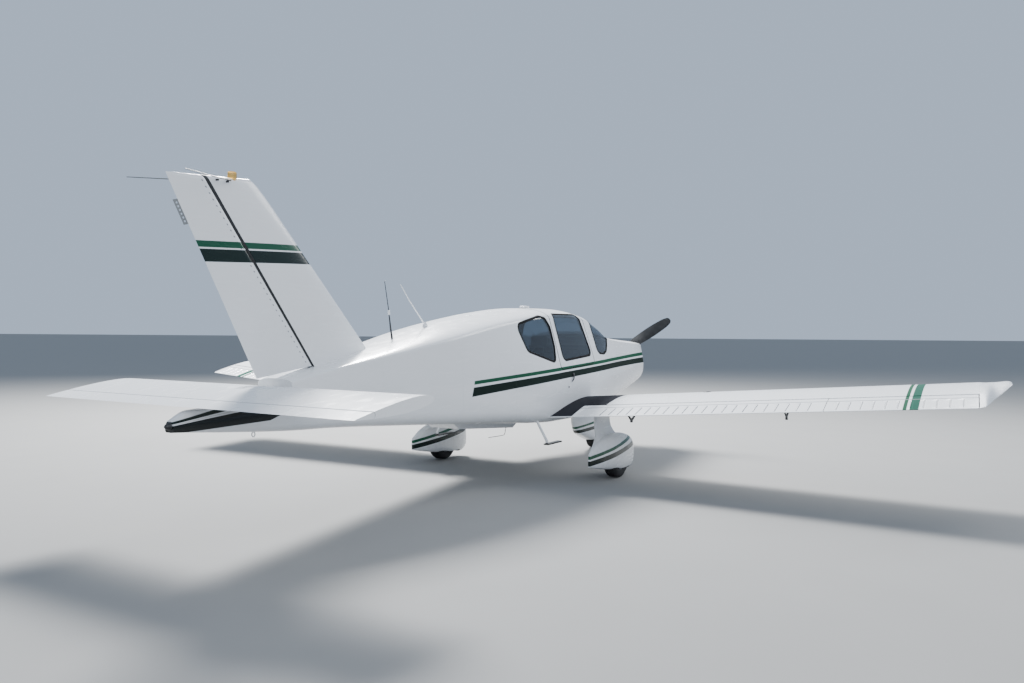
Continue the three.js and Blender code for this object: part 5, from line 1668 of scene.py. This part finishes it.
def wheel(x, y, radius, width):
    """Tyre with a grooved tread, and a two-piece rim with its hub."""
    tyre = [(-0.30, 0.60), (-0.40, 0.58), (-0.47, 0.60), (-0.50, 0.70), (-0.495, 0.80), (-0.46, 0.88),
            (-0.40, 0.945), (-0.30, 0.985)]
    for groove in (-0.20, -0.07, 0.07, 0.20):
        tyre += [(groove - 0.028, 0.993), (groove - 0.018, 0.965), (groove + 0.018, 0.965),
                 (groove + 0.028, 0.993)]
    tyre += [(-a, r) for a, r in tyre[:8]][::-1]
    tyre_skin = spun([(a * width, r * radius) for a, r in tyre], 72, "y", (x, y, radius))
    rim = [(-0.30, 0.10), (-0.44, 0.12), (-0.44, 0.20), (-0.28, 0.24), (-0.26, 0.42), (-0.36, 0.50),
           (-0.42, 0.585), (-0.38, 0.600), (-0.30, 0.600)]
    rim += [(-a, r) for a, r in rim][::-1]
    rim_skin = spun([(a * width, r * radius) for a, r in rim], 56, "y", (x, y, radius))
    return tyre_skin, rim_skin


# Leg fairing. Columns: height, rear edge, front edge, middle's y, half thickness
LEG_FAIRING = np.array([
    (0.330, -0.520, 0.150, 1.138, 0.050),
    (0.395, -0.490, 0.150, 1.128, 0.056),
    (0.430, -0.415, 0.148, 1.110, 0.056),
    (0.460, -0.350, 0.143, 1.088, 0.050),
    (0.500, -0.302, 0.132, 1.062, 0.042),
    (0.560, -0.282, 0.108, 1.042, 0.036),
    (0.640, -0.281, 0.092, 1.037, 0.034),
    (0.740, -0.284, 0.084, 1.036, 0.034),
])


def leg_fairing():
    """A fairing round the leg, cos of a turn to the power 0.7 along and sin to the power 0.8 across, which
    spreads concavely into the wheel fairing."""
    turn = np.linspace(0, 2 * np.pi, 48, endpoint=False)
    along = np.sign(np.cos(turn)) * np.abs(np.cos(turn)) ** 0.7
    across = np.sign(np.sin(turn)) * np.abs(np.sin(turn)) ** 0.8
    rings = []
    for z in np.linspace(LEG_FAIRING[0, 0], LEG_FAIRING[-1, 0], 36):
        rear, front, middle, half = smooth_rows(LEG_FAIRING, z)
        rings.append(np.stack([(front + rear) / 2 + (front - rear) / 2 * along, middle + half * across,
                               np.full(48, z)], 1))
    return lofted(rings)


def make_gear():
    """Wheels, their fairings with an opening below, and the fairings of the legs."""
    tyre, rim = wheel(0, HALF_TRACK, MAIN_TYRE_RADIUS, MAIN_TYRE_WIDTH)
    spat = lofted(spat_rings(MAIN_SPAT, MAIN_SPAT_Y))
    spat = spat.trimmed(
        lambda x, y, z: np.minimum(0.130 - z, -slot_field(x, y, 0, MAIN_SPAT_Y, 0.240, 0.100, 0.05)))
    for side, turn in SIDES:
        add(f"tyre_{side}", turn(tyre), "rubber", f"{side}_wheel", f"main_wheel_{side}")
        add(f"rim_{side}", turn(rim), "hub", f"{side}_wheel")
        add(f"spat_{side}_skin", turn(spat.thick(SPAT_WALL)), ["spat", "dark"], "airframe",
            f"main_spat_{side}")
        add(f"leg_{side}_fairing", turn(leg_fairing()), "leg", "airframe", f"main_leg_{side}")
    tyre, rim = wheel(NOSE_WHEEL_X, 0, NOSE_TYRE_RADIUS, NOSE_TYRE_WIDTH)
    add("tyre_nose", tyre, "rubber", "front_wheel", "nose_wheel")
    add("rim_nose", rim, "hub", "front_wheel")
    spat = lofted(spat_rings(NOSE_SPAT, 0)).trimmed(
        lambda x, y, z: np.minimum(0.140 - z, -slot_field(x, y, NOSE_WHEEL_X, 0, 0.208, 0.078, 0.04)))
    add("spat_nose_skin", spat.thick(SPAT_WALL), ["nose_spat", "dark"], "nose_gear",
        "nose_spat")


# Seats

SWELL_FRAMES = 20
SWELL_CAP = 0.022
SWELL_PRESSURE = 4.0
PAD_VOXEL = 0.009
PAD_CROWN = 0.010


def swollen(made):
    """Points and quads of a pad, remeshed evenly and filled as cloth under pressure. A point moves by its
    simulated move, shortened to the cap where that is longer."""
    scene = bpy.context.scene
    remesh = made.modifiers.new("remesh", "REMESH")
    remesh.mode = "VOXEL"
    remesh.voxel_size = PAD_VOXEL
    even = bpy.data.meshes.new_from_object(made.evaluated_get(bpy.context.evaluated_depsgraph_get()))
    made.modifiers.remove(remesh)
    body = bpy.data.objects.new(made.name + "_cloth", even)
    scene.collection.objects.link(body)
    cloth = body.modifiers.new("cloth", "CLOTH")
    cloth.settings.use_pressure = True
    cloth.settings.uniform_pressure_force = SWELL_PRESSURE
    cloth.settings.effector_weights.gravity = 0.0
    cloth.point_cache.frame_end = SWELL_FRAMES
    start = np.empty(len(even.vertices) * 3)
    even.vertices.foreach_get("co", start)
    for number in range(1, SWELL_FRAMES + 1):
        scene.frame_set(number)
    result = body.evaluated_get(bpy.context.evaluated_depsgraph_get()).to_mesh()
    end = np.empty(len(start))
    result.vertices.foreach_get("co", end)
    move = (end - start).reshape(-1, 3)
    length = np.linalg.norm(move, axis=1, keepdims=True)
    kept = start.reshape(-1, 3) + move * np.minimum(1, SWELL_CAP / np.maximum(length, 1e-9))
    quads = np.empty(len(even.loops), np.int32)
    even.loops.foreach_get("vertex_index", quads)
    bpy.data.objects.remove(body)
    scene.frame_set(1)
    return kept - (AXLE_X, 0, 0), quads.reshape(-1, 4)


def pad_shape(low, high, radius, crown):
    """A box with round edges whose large sides swell by crown times (1 - a a)(1 - b b)."""
    box = rounded_box(low, high, radius, 8)
    centre, half = (np.array(low) + high) / 2, (np.array(high) - low) / 2
    place = (box.points - centre) / half
    thin = int(np.argmin(half))
    bulge = np.ones(len(place))
    for axis in range(3):
        if axis != thin:
            bulge = bulge * (1 - np.clip(place[:, axis], -1, 1) ** 2)
    box.points[:, thin] += crown * bulge * place[:, thin]
    return box


def leaned(points, slope, foot_z):
    """Points moved back as they rise: x less slope times the height over the foot."""
    moved = points.copy()
    moved[:, 0] -= slope * (points[:, 2] - foot_z)
    return moved


def sewn(points, lines, depth=0.006, width=0.009):
    """Points drawn towards the pad's middle along sewn lines: depth times exp(-(off / width) squared)."""
    centre = points.mean(0)
    off = np.abs(points[:, 1][:, None] - np.array(lines)).min(1)
    pull = depth * np.exp(-(off / width) ** 2)
    inward = centre - points
    inward[:, 1] = 0
    return points + inward / np.maximum(np.linalg.norm(inward, axis=1, keepdims=True), 1e-9) * pull[:, None]


def cushion(name, low, high, radius, finish, slope=0.0, lines=(), stands_for=()):
    """A pad on each side of the cabin: swelled, leaned back, then sewn."""
    shape = pad_shape(low, high, radius, PAD_CROWN)
    points, faces = shape.points, shape.faces
    draft = add(name + "_draft", shape, finish, "airframe")
    points, faces = swollen(draft)
    bpy.data.objects.remove(draft)
    points = leaned(points, slope, low[2])
    surface = Surface(sewn(points, lines) if lines else points, faces)
    for side, turn in SIDES:
        made = add(f"{name}_{side}", turn(surface), finish, "airframe",
                   [each.replace("SIDE", side) for each in stands_for])
        smooth = made.modifiers.new("smooth", "SUBSURF")
        smooth.levels = smooth.render_levels = 1


def make_seats():
    """Cushions, backs and headrests in front, a bench behind, and the frames below and behind them."""
    cushion("seat_cushion", (-0.020, 0.070, 0.740), (0.470, 0.470, 0.845), 0.045, "cloth", 0.0,
            (0.170, 0.370), ("front_seat_SIDE",))
    cushion("seat_back", (-0.055, 0.075, 0.830), (0.030, 0.465, 1.370), 0.038, "cloth", 0.190, (0.165, 0.375))
    cushion("headrest", (-0.155, 0.165, 1.405), (-0.105, 0.375, 1.545), 0.024, "cloth", 0.15)
    cushion("bench_cushion", (-0.780, 0.030, 0.735), (-0.410, 0.475, 0.840), 0.045, "brown", 0.0,
            (0.150, 0.350), ("rear_bench",))
    cushion("bench_back", (-0.880, 0.030, 0.855), (-0.815, 0.475, 1.345), 0.030, "brown", 0.19,
            (0.150, 0.350))
    frame_side = rounded_box((-0.030, 0.100, 0.640), (0.450, 0.440, 0.735), 0.02).joined(
        sweep([(-0.075, 0.200, 0.800), (-0.165, 0.200, 1.340), (-0.158, 0.215, 1.420)], 0.009, 10),
        sweep([(-0.075, 0.340, 0.800), (-0.165, 0.340, 1.340), (-0.158, 0.325, 1.420)], 0.009, 10))
    shelf = rounded_box((-0.790, -0.470, 0.640), (-0.420, 0.470, 0.730), 0.02)
    add("seat_frames", frame_side.both().joined(shelf), "dark", "airframe")


def make_cockpit():
    """Dials and a radio stack on the instrument panel's rear face, each a ring round a pale or black face."""
    rings, faces = [], []
    places = [(y, z) for z in (1.318, 1.222) for y in (0.335, 0.240, 0.145)]
    places += [(-0.200, 1.318), (-0.290, 1.318), (-0.200, 1.222), (-0.290, 1.222)]
    for y, z in places:
        rings.append(spun([(0, 0.034), (-0.007, 0.036), (-0.009, 0.040), (-0.007, 0.043), (0, 0.043)], 32,
                          "x", (PANEL_FACE_X, y, z)))
        faces.append(spun([(-0.001, 0), (-0.001, 0.035), (0, 0.036)], 32, "x", (PANEL_FACE_X, y, z)))
        needle = sweep([(PANEL_FACE_X - 0.002, y, z),
                        (PANEL_FACE_X - 0.002, y + 0.016, z + 0.020)], 0.0012, 6)
        faces.append(needle.marked(1))
    stack = [rounded_box((PANEL_FACE_X - 0.010, -0.085, z), (PANEL_FACE_X + 0.004, 0.085, z + 0.046), 0.004)
             for z in (1.070, 1.124, 1.178, 1.232, 1.286)]
    add("panel_rings", rings[0].joined(*rings[1:], *stack), "dark", "airframe")
    add("panel_dials", faces[0].joined(*faces[1:]), ["dial_black", "dial"], "airframe")


make_cabin()
make_doors()
make_glazing()
make_cowl()
make_rear_body()
make_tail_cone()
make_wings()
make_tail()
make_stabilator()
make_airscrew()
make_gear()
make_seats()
make_cockpit()


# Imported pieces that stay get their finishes

STAYING = {
    "instrument_panel": "panel", "yoke_left": "dark", "yoke_right": "dark",
    "engine_block": "engine", "exhaust_pipe": "exhaust",
    "belly_scoop": "white", "boarding_step_left": "step", "boarding_step_right": "step",
    "nose_leg": "steel", "nose_fork": "steel",
}
for node, finish in STAYING.items():
    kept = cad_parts[node]
    for place in kept.material_slots:
        place.material = MATERIALS[finish]


# Stage

FLOOR_HALF = 300
# Lamps. Columns: name, place, power in watts, width
LAMPS = (
    ("key", (6.5, 8.0, 12.0), 9500, 4.0),
    ("fill", (-10.0, -9.0, 7.0), 600, 9.0),
    ("rim", (9.0, -6.0, 9.0), 900, 6.0),
)
SKY = (0.62, 0.76, 0.97, 1)
SKY_STRENGTH = 0.75


def make_stage():
    """A pale floor, three soft lamps that look at the aircraft, and an even sky."""
    floor = bpy.data.meshes.new("floor")
    edge = FLOOR_HALF
    floor.from_pydata([(-edge, -edge, 0), (edge, -edge, 0), (edge, edge, 0), (-edge, edge, 0)], [],
                      [(0, 1, 2, 3)])
    finish = Finish("floor", Roughness=0.9)
    finish.colour(finish.mix(finish.noise(1.5, 4.0) * 0.4, (0.27, 0.27, 0.265, 1), (0.32, 0.32, 0.315, 1)))
    floor.materials.append(finish.material)
    ground = bpy.data.objects.new("floor", floor)
    bpy.context.scene.collection.objects.link(ground)
    for name, place, power, size in LAMPS:
        light = bpy.data.lights.new(name, "AREA")
        light.energy = power
        light.size = size
        lamp = bpy.data.objects.new(name, light)
        bpy.context.scene.collection.objects.link(lamp)
        lamp.location = place
        lamp.rotation_euler = (Vector((0, 0, 1)) - Vector(place)).to_track_quat("-Z", "Y").to_euler()
    world = bpy.data.worlds.new("sky")
    world.use_nodes = True
    backdrop = world.node_tree.nodes["Background"]
    backdrop.inputs["Color"].default_value = SKY
    backdrop.inputs["Strength"].default_value = SKY_STRENGTH
    bpy.context.scene.world = world


make_stage()

bpy.context.view_layer.update()
